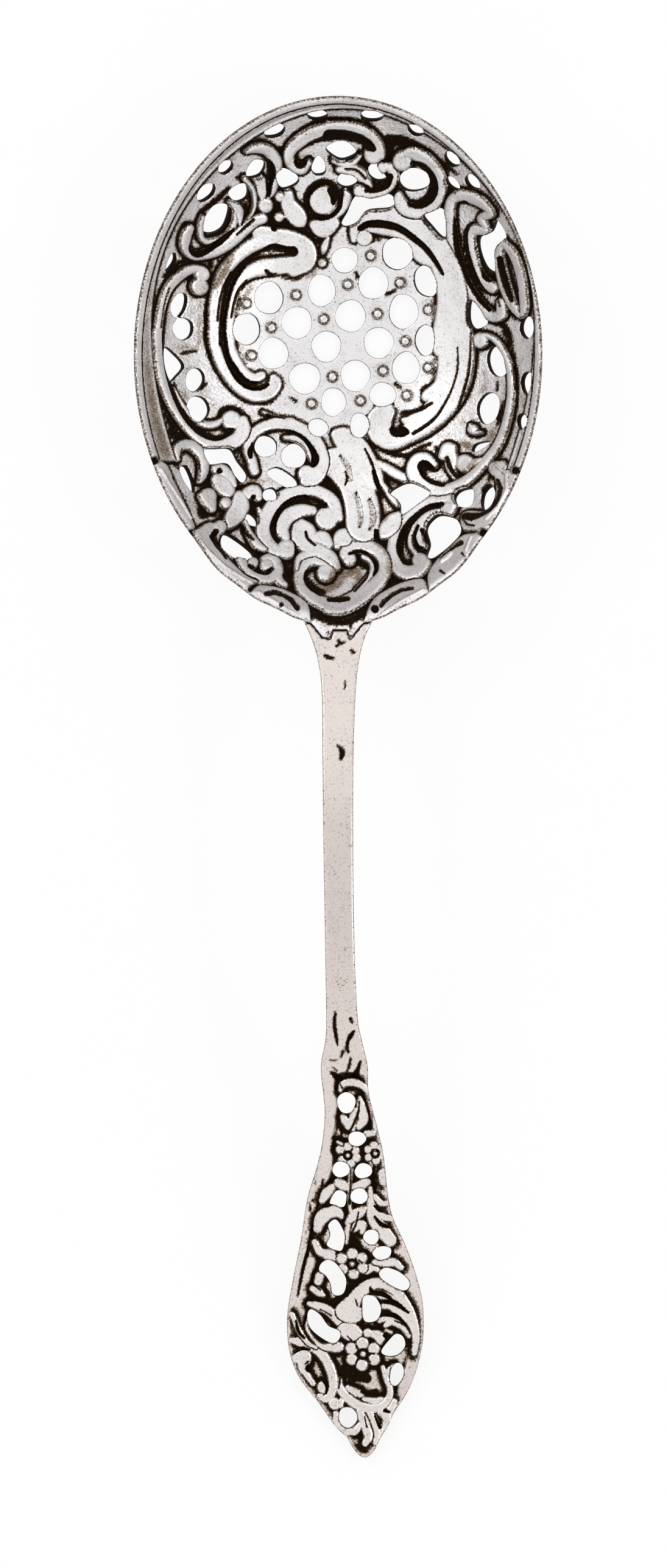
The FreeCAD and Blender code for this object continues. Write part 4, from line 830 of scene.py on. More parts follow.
# Bare sheet between the ornament: black stains, swells and dried residue, same terms without the kind.
sheet_rows = {
    "stain": [
        "top_left",
        ((1276, 600, 0.8), (1235, 535, 0.9), (1165, 515, 0.9), (1095, 555, 0.9), (1065, 625, 1),
         (1095, 700, 1), (1160, 728, 0.9), (1225, 710, 0.8), (1270, 660, 0.7)),
        ((215, 1095, 0.8), (260, 1060, 1), (300, 1010, 0.8)),
        ((483, 1090, 0.5), (470, 1160, 0.4), (430, 1212, 0.3)),
        ((820, 1050, 0.4), (845, 1070, 0.5), (870, 1072, 0.3)),
        ((925, 1085, 0.4), (1000, 1105, 0.4), (1050, 1080, 0.4)),
        ((1195, 845, 0.5), (1205, 905, 0.4)),
        ((780, 312, 0.7), (860, 330, 1.1), (930, 345, 1.6), (985, 290, 1.1)),
        ((905, 350, 1.6), (900, 415, 1.2)),
        ((1055, 245, 0.8), (1125, 192, 0.8), (1200, 170, 0.9), (1280, 162, 0.8)),
        ((885, 655, 1.4), (860, 715, 2.2), (900, 765, 1.9), (985, 785, 1.6)),
        ((735, 835, 0.9), (800, 790, 1.1), (870, 768, 1.2)),
        ((741, 862, 0.9), (749, 862, 0.9)),
        ((1020, 830, 1.3), (1080, 835, 1.3), (1120, 868, 1), (1200, 872, 0.7)),
        ((325, 1003, 0.7), (400, 987, 0.9), (480, 985, 1), (492, 1030, 0.8)),
        ((468, 1045, 0.4), (480, 1105, 0.5)),
        ((600, 1000, 0.5), (562, 1060, 0.5), (532, 1110, 0.6), (510, 1170, 0.4)),
        ((470, 1180, 0.4), (465, 1300, 0.5), (460, 1500, 0.5)),
        ((640, 885, 0.7), (640, 925, 0.7)),
        ((690, 845, 0.5), (735, 828, 0.8)),
        ((440, 700, 0.8), (520, 640, 0.9), (600, 562, 0.7)),
        ((650, 498, 0.5), (705, 541, 0.3)),
        ((320, 790, 0.6), (345, 778, 0.9), (372, 775, 0.5)),
        ((702, 650, 0.5), (712, 705, 0.6)),
        "top_right",
        ((0, 160, 0.6), (100, 155, 0.7), (180, 178, 0.8), (250, 192, 0.5)),
        ((355, 262, 1.2), (430, 285, 2), (510, 308, 1.7), (590, 338, 1)),
        ((365, 300, 1.4), (375, 370, 1.2), (325, 400, 0.7)),
        ((182, 330, 0.5), (200, 380, 0.6), (240, 400, 0.5)),
        ((678, 398, 0.5), (722, 442, 0.7), (775, 485, 0.4)),
        ((830, 570, 0.4), (875, 590, 0.6), (925, 600, 0.4)),
        ((715, 600, 0.4), (692, 655, 0.5)),
        ((410, 690, 0.4), (480, 722, 0.5), (560, 742, 0.4)),
        ((575, 745, 0.3), (640, 800, 0.3), (705, 862, 0.3)),
        ((700, 880, 0.3), (740, 960, 0.4), (785, 1060, 0.4), (825, 1170, 0.6), (845, 1225, 0.8)),
        ((840, 1250, 0.8), (850, 1350, 0.7), (885, 1405, 0.5)),
        ((1000, 1192, 0.7), (1040, 1188, 0.6)),
        ((980, 1372, 0.5), (1050, 1385, 1), (1085, 1440, 1.1), (1095, 1500, 1)),
        ((1095, 1305, 0.6), (1130, 1350, 0.6)),
        ((1020, 900, 0.5), (1062, 880, 0.6)),
        ((268, 830, 0.5), (302, 862, 0.7)),
        ((350, 1192, 0.7), (400, 1170, 0.5)),
        ((650, 1390, 0.5), (700, 1392, 0.5), (745, 1340, 0.3)),
        ((165, 1060, 0.6), (172, 1090, 0.6)),
        "mid_left",
        ((540, 360, 0.5), (500, 400, 0.4), (440, 412, 0.4)),
        ((232, 520, 0.3), (260, 590, 0.6), (300, 665, 1.2), (318, 725, 1.6), (380, 752, 1.2),
         (430, 780, 0.4)),
        ((185, 500, 0.4), (188, 590, 0.7), (212, 650, 0.7)),
        ((315, 365, 0.6), (326, 425, 0.6)),
        ((630, 600, 0.5), (642, 552, 0.6), (700, 526, 0.7), (780, 546, 0.7), (828, 598, 0.8)),
        ((545, 0, 0.4), (560, 120, 0.5), (590, 200, 0.4), (650, 322, 0.3)),
        ((880, 500, 0.3), (950, 502, 0.5), (1012, 486, 0.4)),
        ((1135, 452, 0.3), (1182, 482, 0.5)),
        ((970, 595, 0.8), (992, 578, 0.8), (1040, 595, 0.4), (1130, 597, 0.2)),
        ((370, 150, 0.5), (470, 130, 0.5)),
        ((1420, 830, 0.5), (1450, 900, 0.7), (1438, 975, 0.7), (1402, 1050, 1.2), (1372, 1085, 0.8)),
        ((540, 940, 0.5), (556, 1000, 0.5), (545, 1065, 0.9)),
        ((290, 880, 0.5), (312, 930, 0.5), (352, 962, 0.5)),
        ((750, 850, 0.3), (792, 930, 0.3), (852, 1003, 0.4)),
        "mid_right",
        ((1200, 0, 0.5), (1240, 60, 0.5), (1280, 180, 0.4), (1292, 350, 0.3)),
        ((1205, 470, 0.3), (1180, 580, 0.6), (1160, 640, 0.4)),
        ((1125, 930, 0.3), (1100, 1015, 0.5)),
        ((750, 110, 0.4), (830, 102, 0.7), (856, 140, 1.2), (815, 200, 1.7), (780, 250, 0.9),
         (735, 292, 0.4)),
        ((638, 405, 0.5), (660, 372, 0.7), (722, 356, 0.5)),
        ((505, 552, 0.8), (575, 545, 0.9), (640, 520, 0.8), (702, 490, 0.5)),
        ((458, 348, 0.6), (500, 380, 0.4)),
        ((285, 728, 0.5), (350, 790, 0.7), (430, 832, 0.7), (540, 842, 0.8), (622, 792, 0.6),
         (700, 762, 0.6)),
        ((740, 790, 0.7), (782, 832, 1.2), (802, 775, 0.5)),
        ((1090, 25, 0.8), (1150, 72, 0.9), (1190, 122, 0.6)),
        ((540, 850, 0.7), (548, 965, 0.3)),
        ((1165, 595, 0.6), (1200, 500, 0.6)),
        ((1160, 340, 0.4), (1162, 400, 0.4)),
        "low_left",
        ((232, 50, 0.5), (262, 102, 0.5)),
        ((668, 598, 0.25), (750, 668, 0.3), (842, 735, 0.4)),
        ((1445, 60, 0.7), (1425, 145, 0.9), (1388, 222, 1.3), (1345, 262, 0.6)),
        ((1435, 300, 0.3), (1500, 370, 0.3)),
        ((490, 100, 0.4), (502, 160, 0.6), (480, 212, 0.9), (440, 240, 0.6)),
        ((565, 298, 0.5), (625, 306, 0.6)),
        ((440, 415, 0.9), (458, 470, 1.1), (520, 462, 0.5), (575, 482, 0.5)),
        ((578, 432, 0.6), (640, 452, 0.5), (684, 400, 0.3)),
        ((708, 270, 0.4), (728, 288, 0.5)),
        ((850, 430, 0.4), (892, 470, 0.5), (872, 530, 0.3)),
        ((1395, 600, 0.6), (1440, 602, 0.9), (1476, 570, 0.5)),
        ((856, 742, 0.6), (902, 752, 0.5), (955, 768, 0.4)),
        ((740, 548, 0.6), (772, 592, 0.4)),
        ((1050, 835, 1.2), (1100, 895, 1.4), (1080, 960, 1.2), (1140, 995, 0.7)),
        ((1288, 1196, 1), (1340, 1230, 1.2), (1420, 1256, 1), (1500, 1266, 1)),
        ((1240, 930, 0.5), (1262, 965, 1), (1310, 1020, 1.2), (1370, 1040, 0.8)),
        ((1400, 1400, 0.8), (1416, 1345, 0.9), (1470, 1310, 0.6)),
        "low_right",
        ((420, 940, 0.8), (480, 945, 1.3), (545, 935, 0.6), (640, 925, 0.3), (705, 890, 0.3)),
        ((210, 795, 0.8), (270, 830, 0.8)),
        ((320, 655, 0.4), (380, 700, 0.5), (420, 740, 0.3)),
        ((210, 1185, 0.8), (285, 1150, 0.9)),
        ((145, 448, 1), (152, 500, 1), (128, 520, 0.6)),
        ((10, 290, 0.4), (80, 352, 0.5), (130, 330, 0.4)),
        ((198, 588, 0.4), (232, 612, 0.5)),
        ((350, 572, 0.7), (350, 612, 0.8)),
        ((0, 582, 0.5), (42, 570, 0.6)),
        ((280, 1112, 0.6), (330, 1052, 0.5), (372, 1010, 0.4)),
        ((0, 1228, 1), (110, 1230, 1), (200, 1200, 1.1), (255, 1160, 1.4)),
        ((1122, 350, 0.4), (1130, 255, 0.5), (1172, 232, 0.5), (1204, 275, 0.4)),
        ((1182, 150, 0.5), (1168, 192, 0.7)),
        ((958, 580, 0.6), (988, 600, 0.5)),
        ((150, 1300, 0.4), (158, 1250, 0.6)),
    ],
    "bump": [
        "top_left",
        ((985, 235, 1.4), (1050, 215, 1.6)),
        ((865, 300, 1.4), (930, 275, 1.6)),
        ((640, 650, 1), (665, 720, 1.6), (680, 770, 1)),
        ((760, 530, 1.6), (790, 590, 1.4)),
        ((600, 940, 1.6), (560, 975, 1.2)),
        ((505, 1000, 1), (530, 1050, 0.8)),
        "top_right",
        ((270, 200, 1.2), (340, 210, 1.8), (370, 225, 1)),
        ((610, 210, 1), (640, 290, 1.2), (690, 330, 0.9)),
        "mid_left",
        ((620, 430, 1.4), (720, 420, 1.8), (800, 470, 1.2)),
        ((430, 190, 1.4), (520, 220, 1.2)),
        ((340, 130, 0.8), (420, 200, 1)),
        ((200, 560, 0.7), (225, 620, 1)),
        ((1286, 500, 1.8), (1294, 500, 1.8)),
        "mid_right",
        ((500, 480, 1.2), (540, 505, 1.5)),
        ((596, 430, 1.5), (604, 430, 1.5)),
        ((486, 400, 1.2), (494, 400, 1.2)),
        ((751, 220, 1.2), (759, 220, 1.2)),
        ((1040, 640, 1.2), (1085, 660, 1)),
        ((935, 700, 1.1), (915, 745, 0.7)),
        ((1310, 480, 1), (1330, 560, 1)),
        ((1390, 100, 0.9), (1380, 200, 0.9)),
        ((350, 880, 1.4), (440, 910, 1.4), (500, 950, 0.8)),
        "low_left",
        ((880, 280, 1.6), (830, 260, 1.2)),
        ((820, 580, 1.2), (860, 650, 1)),
        "low_right",
        ((470, 520, 1.4), (430, 590, 2.4), (380, 640, 1.2)),
    ],
}
residue_rows = [
    "top_left",
    ((600, 960, 2.2), (560, 1050, 2.6), (500, 1150, 2)),
    ((440, 1130, 1.2), (430, 1230, 1.4), (425, 1350, 1.2), (420, 1500, 1.2)),
    ((1170, 930, 1.2), (1150, 1000, 1.4), (1080, 1080, 1.4), (940, 1090, 1)),
    ((690, 1230, 1.6), (740, 1130, 1.2)),
    "top_right",
    ((296, 862, 1), (304, 862, 1)),
    ((346, 1190, 1), (354, 1190, 1)),
    "mid_left",
    ((300, 100, 1), (400, 110, 1.8), (470, 120, 1.4)),
    ((400, 300, 1), (420, 240, 1), (500, 230, 0.8)),
    ((380, 400, 1.2), (400, 470, 1.4)),
    "mid_right",
    ((900, 750, 1.8), (980, 790, 2.6), (1080, 760, 2.6), (1130, 690, 1.9), (1175, 600, 1.3), (1205, 450, 1.2),
     (1212, 350, 1)),
    ((880, 990, 1.6), (960, 960, 1.4), (1040, 880, 1.2)),
    ((1255, 640, 1), (1232, 740, 1.5), (1190, 830, 1.8), (1160, 900, 1.4), (1120, 1000, 0.8)),
    ((1060, 250, 1.2), (1080, 370, 1.4), (1020, 420, 1)),
    "low_left",
    ((1050, 840, 2.2), (1100, 900, 2.6), (1080, 960, 2.4), (1150, 1000, 1.4)),
    ((760, 240, 1.2), (880, 200, 1.6), (1000, 210, 1)),
    ((1260, 940, 1.8), (1290, 1000, 2.4), (1350, 1040, 2.4), (1420, 1000, 2.8), (1490, 960, 3.2)),
    ((1360, 1280, 1.6), (1440, 1290, 1.6), (1400, 1380, 1.4)),
    "low_right",
    ((380, 350, 1.6), (400, 430, 2), (430, 500, 1.4)),
    ((330, 650, 1.2), (400, 700, 1.6), (440, 760, 1.2), (450, 850, 1.6), (450, 930, 1.8)),
    ((40, 900, 3.6), (120, 870, 3.4), (200, 840, 2.4), (220, 900, 2), (170, 980, 1.2)),
    ((40, 1250, 1.4), (140, 1245, 1.4), (220, 1180, 1.2)),
]

# Ornament of the end plate, and the cuts and stains in the handle itself, same terms as the bowl's.
end_rows = {
    "end_leaf_sprig": [
        "end_high",
        ("body", (340, 240, 0.9), (352, 214, 1.3), (390, 203, 1.5), (432, 214, 1.4), (462, 242, 1),
         (484, 290, 0.7), (496, 350, 0.6), (498, 420, 0.6)),
        ("body", (430, 272, 0.7), (434, 300, 1.5), (440, 330, 1.8), (446, 372, 1.9), (428, 405, 1.4)),
        ("body", (412, 330, 1), (402, 350, 1.4), (396, 390, 1.6), (398, 420, 1)),
        ("body", (350, 362, 1), (364, 380, 1.6), (376, 408, 1.2)),
        ("body", (462, 440, 1.4), (490, 438, 1.3)),
        ("body", (330, 478, 0.8), (350, 488, 0.8)),
        ("line", (427, 290, 0.2), (424, 335, 0.35), (406, 385, 0.4), (384, 430, 0.3)),
        ("line", (340, 214, 0.2), (352, 232, 0.3)),
    ],
    "end_flowers": [
        "end_high",
        ("knob", (340, 512, 0.85)),
        ("knob", (374, 500, 0.85)),
        ("knob", (409, 518, 0.85)),
        ("knob", (414, 550, 0.85)),
        ("knob", (388, 576, 0.85)),
        ("knob", (350, 562, 0.85)),
        ("berry", (375, 540, 0.5)),
        ("ring", (375, 540, 0.5)),
        ("knob", (468, 512, 0.75)),
        ("knob", (494, 494, 0.8)),
        ("knob", (522, 508, 0.75)),
        ("knob", (530, 542, 0.75)),
        ("knob", (504, 564, 0.8)),
        ("knob", (470, 548, 0.75)),
        ("berry", (500, 531, 0.5)),
        ("ring", (500, 531, 0.5)),
        "end_low",
        ("knob", (395, 20, 1.05)),
        ("knob", (440, 40, 1)),
        ("knob", (444, 86, 1)),
        ("knob", (402, 114, 1)),
        ("knob", (352, 92, 1)),
        ("knob", (347, 42, 1)),
        ("berry", (395, 68, 0.6)),
        ("ring", (395, 68, 0.65)),
        ("ring", (395, 68, 0.45)),
        ("knob", (442, 434, 1.15)),
        ("knob", (494, 458, 1.1)),
        ("knob", (496, 508, 1.1)),
        ("knob", (440, 534, 1.1)),
        ("knob", (394, 508, 1.05)),
        ("knob", (392, 458, 1.1)),
        ("berry", (445, 483, 0.65)),
        ("ring", (445, 483, 0.75)),
        ("ring", (445, 483, 0.6)),
        "end_high",
        ("line", (352, 536, 0.2), (340, 532, 0.25)),
        ("line", (390, 520, 0.25), (396, 508, 0.25)),
        "end_low",
        ("line", (425, 50, 0.3), (440, 62, 0.3)),
        ("line", (418, 458, 0.25), (414, 446, 0.35)),
        ("line", (470, 480, 0.3), (496, 482, 0.35)),
        ("line", (468, 506, 0.25), (476, 522, 0.35)),
        ("line", (420, 506, 0.25), (414, 524, 0.35)),
    ],
    "end_stalk": [
        "end_high",
        ("body", (394, 590, 0.7), (386, 640, 0.9), (384, 700, 0.8), (384, 770, 0.8), (390, 800, 0.9)),
        ("body", (330, 665, 1.6), (352, 676, 1.9), (376, 690, 1.2)),
        ("body", (464, 662, 1.4), (440, 674, 1.8), (404, 684, 1.3)),
        ("body", (258, 745, 1.4), (276, 715, 1.9), (300, 690, 1.6)),
        ("body", (236, 880, 1.6), (252, 830, 2.4), (290, 800, 2.4), (330, 802, 1.8), (346, 822, 1)),
        ("body", (372, 850, 1), (400, 820, 1.9), (432, 800, 1.9), (452, 785, 1.1)),
        ("body", (404, 880, 1.2), (420, 862, 1.8), (446, 858, 1.4), (440, 892, 1)),
        ("body", (368, 940, 0.9), (372, 890, 1.1), (378, 860, 1)),
        ("body", (470, 545, 0.7), (485, 590, 0.6)),
        ("body", (478, 690, 0.9), (480, 760, 1.6), (492, 830, 2.2), (530, 880, 2.6), (570, 930, 2.4)),
        ("body", (532, 622, 1.7), (536, 660, 1.7)),
        ("body", (500, 730, 1.2), (530, 760, 1.3), (560, 760, 1)),
        ("body", (500, 800, 1.4), (540, 822, 1.5), (584, 836, 1)),
        "end_low",
        ("body", (498, 60, 1.2), (540, 62, 1.6), (590, 60, 1.6), (620, 85, 1.2)),
        "end_high",
        ("body", (300, 990, 1.6), (250, 985, 1.6), (225, 940, 1.4)),
        "end_low",
        ("body", (270, 20, 1.8), (300, 35, 1.6), (330, 42, 1)),
        "end_high",
        ("line", (389, 600, 0.2), (387, 700, 0.4), (383, 760, 0.5)),
        ("line", (424, 800, 0.2), (414, 850, 0.3), (396, 890, 0.35)),
        ("line", (262, 778, 0.3), (292, 768, 0.6), (300, 764, 0.3)),
        ("groove", (500, 664, 0.4), (512, 700, 1.2), (548, 716, 0.7)),
        ("groove", (496, 772, 0.3), (524, 790, 0.7), (560, 796, 0.4)),
        ("groove", (498, 822, 0.3), (530, 858, 0.7), (580, 870, 0.3)),
    ],
    "end_right_scroll": [
        "end_low",
        ("body", (392, 300, 1.8), (398, 250, 2.6), (425, 205, 2.4), (475, 165, 2.2), (530, 158, 2),
         (590, 190, 1.9), (640, 250, 1.9), (672, 320, 1.8), (688, 400, 1.6), (680, 480, 1.2)),
        ("body", (380, 250, 2.4), (350, 290, 2.6), (400, 310, 2.6), (430, 290, 1.8)),
        ("body", (500, 200, 1.2), (560, 225, 1.8), (620, 270, 2.2), (655, 330, 1.8)),
        ("body", (540, 262, 1.2), (580, 262, 1.8), (630, 310, 2.2), (660, 380, 1.4)),
        ("body", (548, 352, 1), (580, 330, 1.8), (630, 350, 2), (655, 400, 1)),
        ("body", (520, 330, 1), (556, 318, 1.2)),
        ("body", (360, 372, 2.6), (390, 382, 3.2), (412, 388, 2.4)),
        ("knob", (466, 386, 0.85)),
        ("body", (496, 392, 1.6), (520, 402, 2), (520, 425, 1.4)),
        ("body", (552, 378, 1), (572, 382, 0.9)),
        ("groove", (478, 178, 0.4), (490, 198, 0.8), (540, 208, 0.8), (592, 246, 0.3)),
        ("groove", (535, 240, 0.6), (590, 248, 0.9), (652, 292, 0.3)),
        ("groove", (544, 300, 0.7), (590, 306, 0.8), (640, 344, 0.3)),
        ("line", (590, 330, 0.2), (640, 350, 0.5), (662, 388, 0.3)),
        ("line", (410, 230, 0.2), (420, 262, 0.2)),
        ("pit", (550, 396, 0.5)),
        ("line", (372, 400, 0.2), (392, 420, 0.3)),
    ],
    "end_left_scroll": [
        "end_low",
        ("body", (196, 250, 1), (240, 262, 1.6), (290, 285, 1.8), (330, 330, 1.6), (350, 358, 1)),
        ("body", (212, 180, 1.2), (240, 196, 1.6), (266, 214, 0.8)),
        ("body", (246, 124, 1.7), (240, 148, 1.6)),
        ("body", (196, 320, 0.7), (186, 360, 0.7), (214, 410, 0.8), (260, 450, 1.2), (320, 452, 2),
         (336, 450, 1.8)),
        ("body", (462, 100, 1.4), (490, 82, 1.6), (512, 96, 1)),
        ("body", (120, 300, 1.2), (150, 370, 1.2), (190, 430, 1.1), (230, 455, 0.8)),
        ("groove", (138, 330, 0.3), (150, 380, 0.5), (176, 410, 0.3)),
        ("line", (150, 312, 0.3), (160, 340, 0.3)),
        ("line", (224, 168, 0.25), (250, 186, 0.3)),
        ("line", (250, 276, 0.2), (300, 306, 0.25)),
    ],
    "end_lower_scroll": [
        "end_low",
        ("body", (118, 420, 1.2), (170, 432, 2), (230, 458, 2), (276, 510, 1.9), (304, 580, 1.9),
         (306, 650, 1.7), (276, 690, 1.6), (246, 676, 1.2)),
        ("body", (150, 500, 2.2), (176, 496, 2.6), (170, 540, 2), (188, 580, 1.4), (216, 620, 1.2)),
        ("knob", (262, 636, 1.15)),
        ("body", (338, 600, 1), (340, 640, 1.6), (380, 690, 1.8), (440, 726, 1.9), (510, 730, 1.8),
         (556, 700, 1.6), (570, 650, 1.3), (552, 596, 1.2), (536, 545, 1)),
        ("body", (376, 640, 1.2), (420, 664, 1.6), (440, 670, 1)),
        ("body", (530, 690, 1), (500, 700, 1.4), (450, 690, 1)),
        ("knob", (314, 712, 1.15)),
        ("body", (346, 700, 1.2), (344, 722, 1)),
        ("body", (430, 750, 1.6), (452, 800, 1.8), (470, 860, 1.8), (455, 895, 1.4)),
        ("body", (470, 745, 1.2), (496, 790, 1.5), (512, 850, 1.5), (500, 890, 1)),
        ("body", (524, 752, 1.4), (556, 776, 1.9), (548, 820, 1.5), (530, 850, 0.8)),
        ("body", (590, 700, 1.2), (572, 740, 1.6), (560, 752, 1.2)),
        ("body", (320, 760, 1.4), (335, 820, 1.6), (400, 840, 1.6), (430, 810, 1.2)),
        ("body", (585, 540, 1.1), (560, 560, 1), (556, 590, 0.8)),
        ("groove", (130, 478, 0.3), (160, 458, 0.6), (200, 462, 0.3)),
        ("groove", (200, 548, 1.4), (236, 566, 1.3), (264, 596, 1), (280, 630, 0.6), (276, 664, 0.3)),
        ("groove", (440, 656, 0.5), (480, 668, 1), (512, 652, 0.7), (518, 636, 0.4)),
        ("line", (452, 772, 0.2), (462, 820, 0.3)),
        ("groove", (500, 768, 0.3), (522, 820, 0.5)),
        ("line", (180, 530, 0.2), (192, 520, 0.4)),
        ("groove", (546, 744, 0.6), (566, 750, 0.4)),
        ("line", (340, 590, 0.4), (334, 640, 0.3)),
    ],
}
handle_rows = [
    "end_high",
    ("groove", (300, 158, 0.4), (322, 176, 1), (346, 194, 0.9)),
    ("groove", (432, 108, 0.3), (420, 145, 0.6), (412, 175, 1.2), (446, 205, 0.8)),
    ("groove", (384, 190, 0.5), (400, 180, 0.7)),
    ("groove", (262, 650, 0.3), (244, 740, 0.4), (224, 830, 0.5), (204, 920, 0.55), (190, 1000, 0.5)),
    "end_low",
    ("groove", (188, 20, 0.5), (168, 100, 0.5), (146, 215, 0.3)),
    "end_high",
    ("line", (224, 628, 0.3), (226, 672, 0.3)),
    ("line", (196, 740, 0.2), (204, 792, 0.5)),
    ("line", (168, 868, 0.2), (180, 896, 0.4)),
    ("pit", (215, 747, 0.2)),
    ("line", (350, 60, 0.4), (346, 76, 0.3)),
    ("line", (388, 92, 0.35), (382, 125, 0.5), (372, 152, 0.4)),
    ("line", (292, 100, 0.2), (312, 104, 0.3), (330, 98, 0.2)),
    ("line", (372, 152, 0.3), (366, 186, 0.4)),
    ("line", (376, 0, 0.3), (366, 50, 0.4)),
    ("line", (300, 130, 0.2), (326, 152, 0.3)),
    "stem",
    ("stain", (168, 462, 0.3), (180, 474, 0.7), (184, 490, 0.9), (178, 508, 0.4)),
    ("stain", (128, 168, 0.6), (142, 174, 0.7), (154, 176, 0.4)),
    ("stain", (211, 150, 0.4), (221, 156, 0.6)),
    ("line", (172, 118, 0.5), (178, 128, 0.5), (192, 124, 0.4)),
    ("line", (163, 136, 0.4), (178, 128, 0.4)),
    ("line", (193, 250, 0.3), (193, 274, 0.35)),
    ("groove", (161, 1336, 0.3), (158, 1375, 0.5), (163, 1412, 0.5), (168, 1442, 0.3)),
    ("pit", (211, 1358, 0.3)),
    ("pit", (216, 1368, 0.25)),
    ("groove", (222, 1398, 0.4), (212, 1412, 0.7), (204, 1430, 0.4), (200, 1450, 0.35), (203, 1468, 0.4)),
    ("line", (188, 1464, 0.4), (180, 1482, 0.4)),
    "end_high",
    ("line", (330, 400, 0.2), (350, 440, 0.4)),
    ("line", (296, 660, 0.7), (322, 650, 0.4)),
    ("line", (600, 890, 0.3), (604, 912, 0.4)),
    ("stain", (312, 458, 0.9), (340, 462, 1.1), (356, 472, 0.7)),
    ("stain", (314, 478, 0.9), (306, 520, 0.8), (322, 548, 0.5)),
    ("stain", (372, 962, 0.8), (402, 930, 1.5), (436, 966, 0.8)),
    ("stain", (470, 330, 0.6), (468, 400, 0.7), (454, 432, 0.5)),
    "end_low",
    ("stain", (208, 232, 1), (280, 242, 1.2), (330, 232, 1.2), (376, 190, 1.4), (410, 150, 1.6),
     (470, 130, 1.2)),
    ("stain", (366, 558, 2.2), (400, 590, 2)),
    ("stain", (430, 592, 1.4), (462, 596, 1.6)),
    ("stain", (470, 664, 1.2), (505, 656, 1)),
    ("stain", (400, 900, 0.9), (430, 920, 1.2), (460, 930, 0.9)),
    ("stain", (660, 230, 0.4), (690, 320, 0.4), (694, 380, 0.3)),
    ("pit", (686, 434, 0.15)),
    ("pit", (668, 230, 0.15)),
    ("pit", (710, 320, 0.15)),
]


class Plan:
    """A square grid seen from above. Fields over it are arrays with rows along y and columns along x."""

    def __init__(self, x, y):
        self.x = x
        self.y = y
        self.pitch = x[1] - x[0]
        self.shape = (len(y), len(x))

    def window(self, low, high, reach):
        """Row and column slices that cover a box widened by reach."""
        cols = np.searchsorted(self.x, (low[0] - reach, high[0] + reach))
        rows = np.searchsorted(self.y, (low[1] - reach, high[1] + reach))
        return slice(*rows), slice(*cols)

    def part(self, rows, cols):
        return Plan(self.x[cols], self.y[rows])


def smooth_line(points, step, closed=False):
    """Points along a Catmull-Rom curve: between two points a cubic whose slope at each end is half the
    difference of that end's neighbours."""
    points = np.asarray(points, float)
    if closed:
        knots = np.concatenate([points[-1:], points, points[:2]])
    else:
        knots = np.concatenate([2 * points[:1] - points[1:2], points, 2 * points[-1:] - points[-2:-1]])
    runs = []
    for a, b, c, d in zip(knots, knots[1:], knots[2:], knots[3:]):
        count = max(2, math.ceil(math.dist(b[:2], c[:2]) / step))
        t = np.linspace(0, 1, count, endpoint=False)[:, None]
        runs.append(b + t * (c - a) / 2 + t ** 2 * (a - 2.5 * b + 2 * c - d / 2)
                    + t ** 3 * (1.5 * b - a / 2 - 1.5 * c + d / 2))
    if not closed:
        runs.append(points[-1:])
    return np.concatenate(runs)


def smoothstep(value, low, high):
    """0 below low, 1 above high, and 3t^2 - 2t^3 between."""
    t = np.clip((value - low) / (high - low), 0, 1)
    return t * t * (3 - 2 * t)


def quarter_round(depth, radius):
    """Height share of a rounded shoulder: a quarter circle that starts at the edge and ends at the radius."""
    t = np.clip(depth / radius, 0, 1)
    return np.sqrt(1 - (1 - t) ** 2)


def stroke_depth(plan, line):
    """How far inside a stroke each grid point is: half the width at the nearest point of the centre line,
    less the distance to it. The second field is that half width."""
    depth = np.full(plan.shape, OUTSIDE)
    half = np.ones(plan.shape)
    for start, end in zip(line[:-1], line[1:]):
        reach = max(start[2], end[2]) / 2 + window_margin
        rows, cols = plan.window(np.minimum(start, end)[:2], np.maximum(start, end)[:2], reach)
        x = plan.x[None, cols] - start[0]
        y = plan.y[rows, None] - start[1]
        run = end - start
        along = np.clip((x * run[0] + y * run[1]) / max(run[0] ** 2 + run[1] ** 2, 1e-9), 0, 1)
        reach_here = (start[2] + run[2] * along) / 2
        inside = reach_here - np.hypot(x - along * run[0], y - along * run[1])
        better = inside > depth[rows, cols]
        depth[rows, cols][better] = inside[better]
        half[rows, cols][better] = reach_here[better]
    return depth, half


def disc_depth(plan, x, y, radius):
    """Radius less the distance from the middle."""
    return radius - np.hypot(plan.x[None, :] - x, plan.y[:, None] - y)


def outline_depth(plan, points):
    """Signed distance to a closed outline, above zero inside it and followed up to the reach."""
    gap = np.full(plan.shape, field_reach)
    inside = np.zeros(plan.shape, bool)
    for start, end in zip(points, np.roll(points, -1, axis=0)):
        rows, cols = plan.window(np.minimum(start, end), np.maximum(start, end), field_reach)
        x = plan.x[None, cols] - start[0]
        y = plan.y[rows, None] - start[1]
        run = end - start
        along = np.clip((x * run[0] + y * run[1]) / max(run @ run, 1e-9), 0, 1)
        gap[rows, cols] = np.minimum(gap[rows, cols], np.hypot(x - along * run[0], y - along * run[1]))
        if start[1] != end[1]:
            low, high = sorted((start[1], end[1]))
            span = slice(*np.searchsorted(plan.y, (low, high)))
            crossing = start[0] + (plan.y[span] - start[1]) * run[0] / run[1]
            inside[span] ^= plan.x[None, :] < crossing[:, None]
    return np.where(inside, gap, -gap)


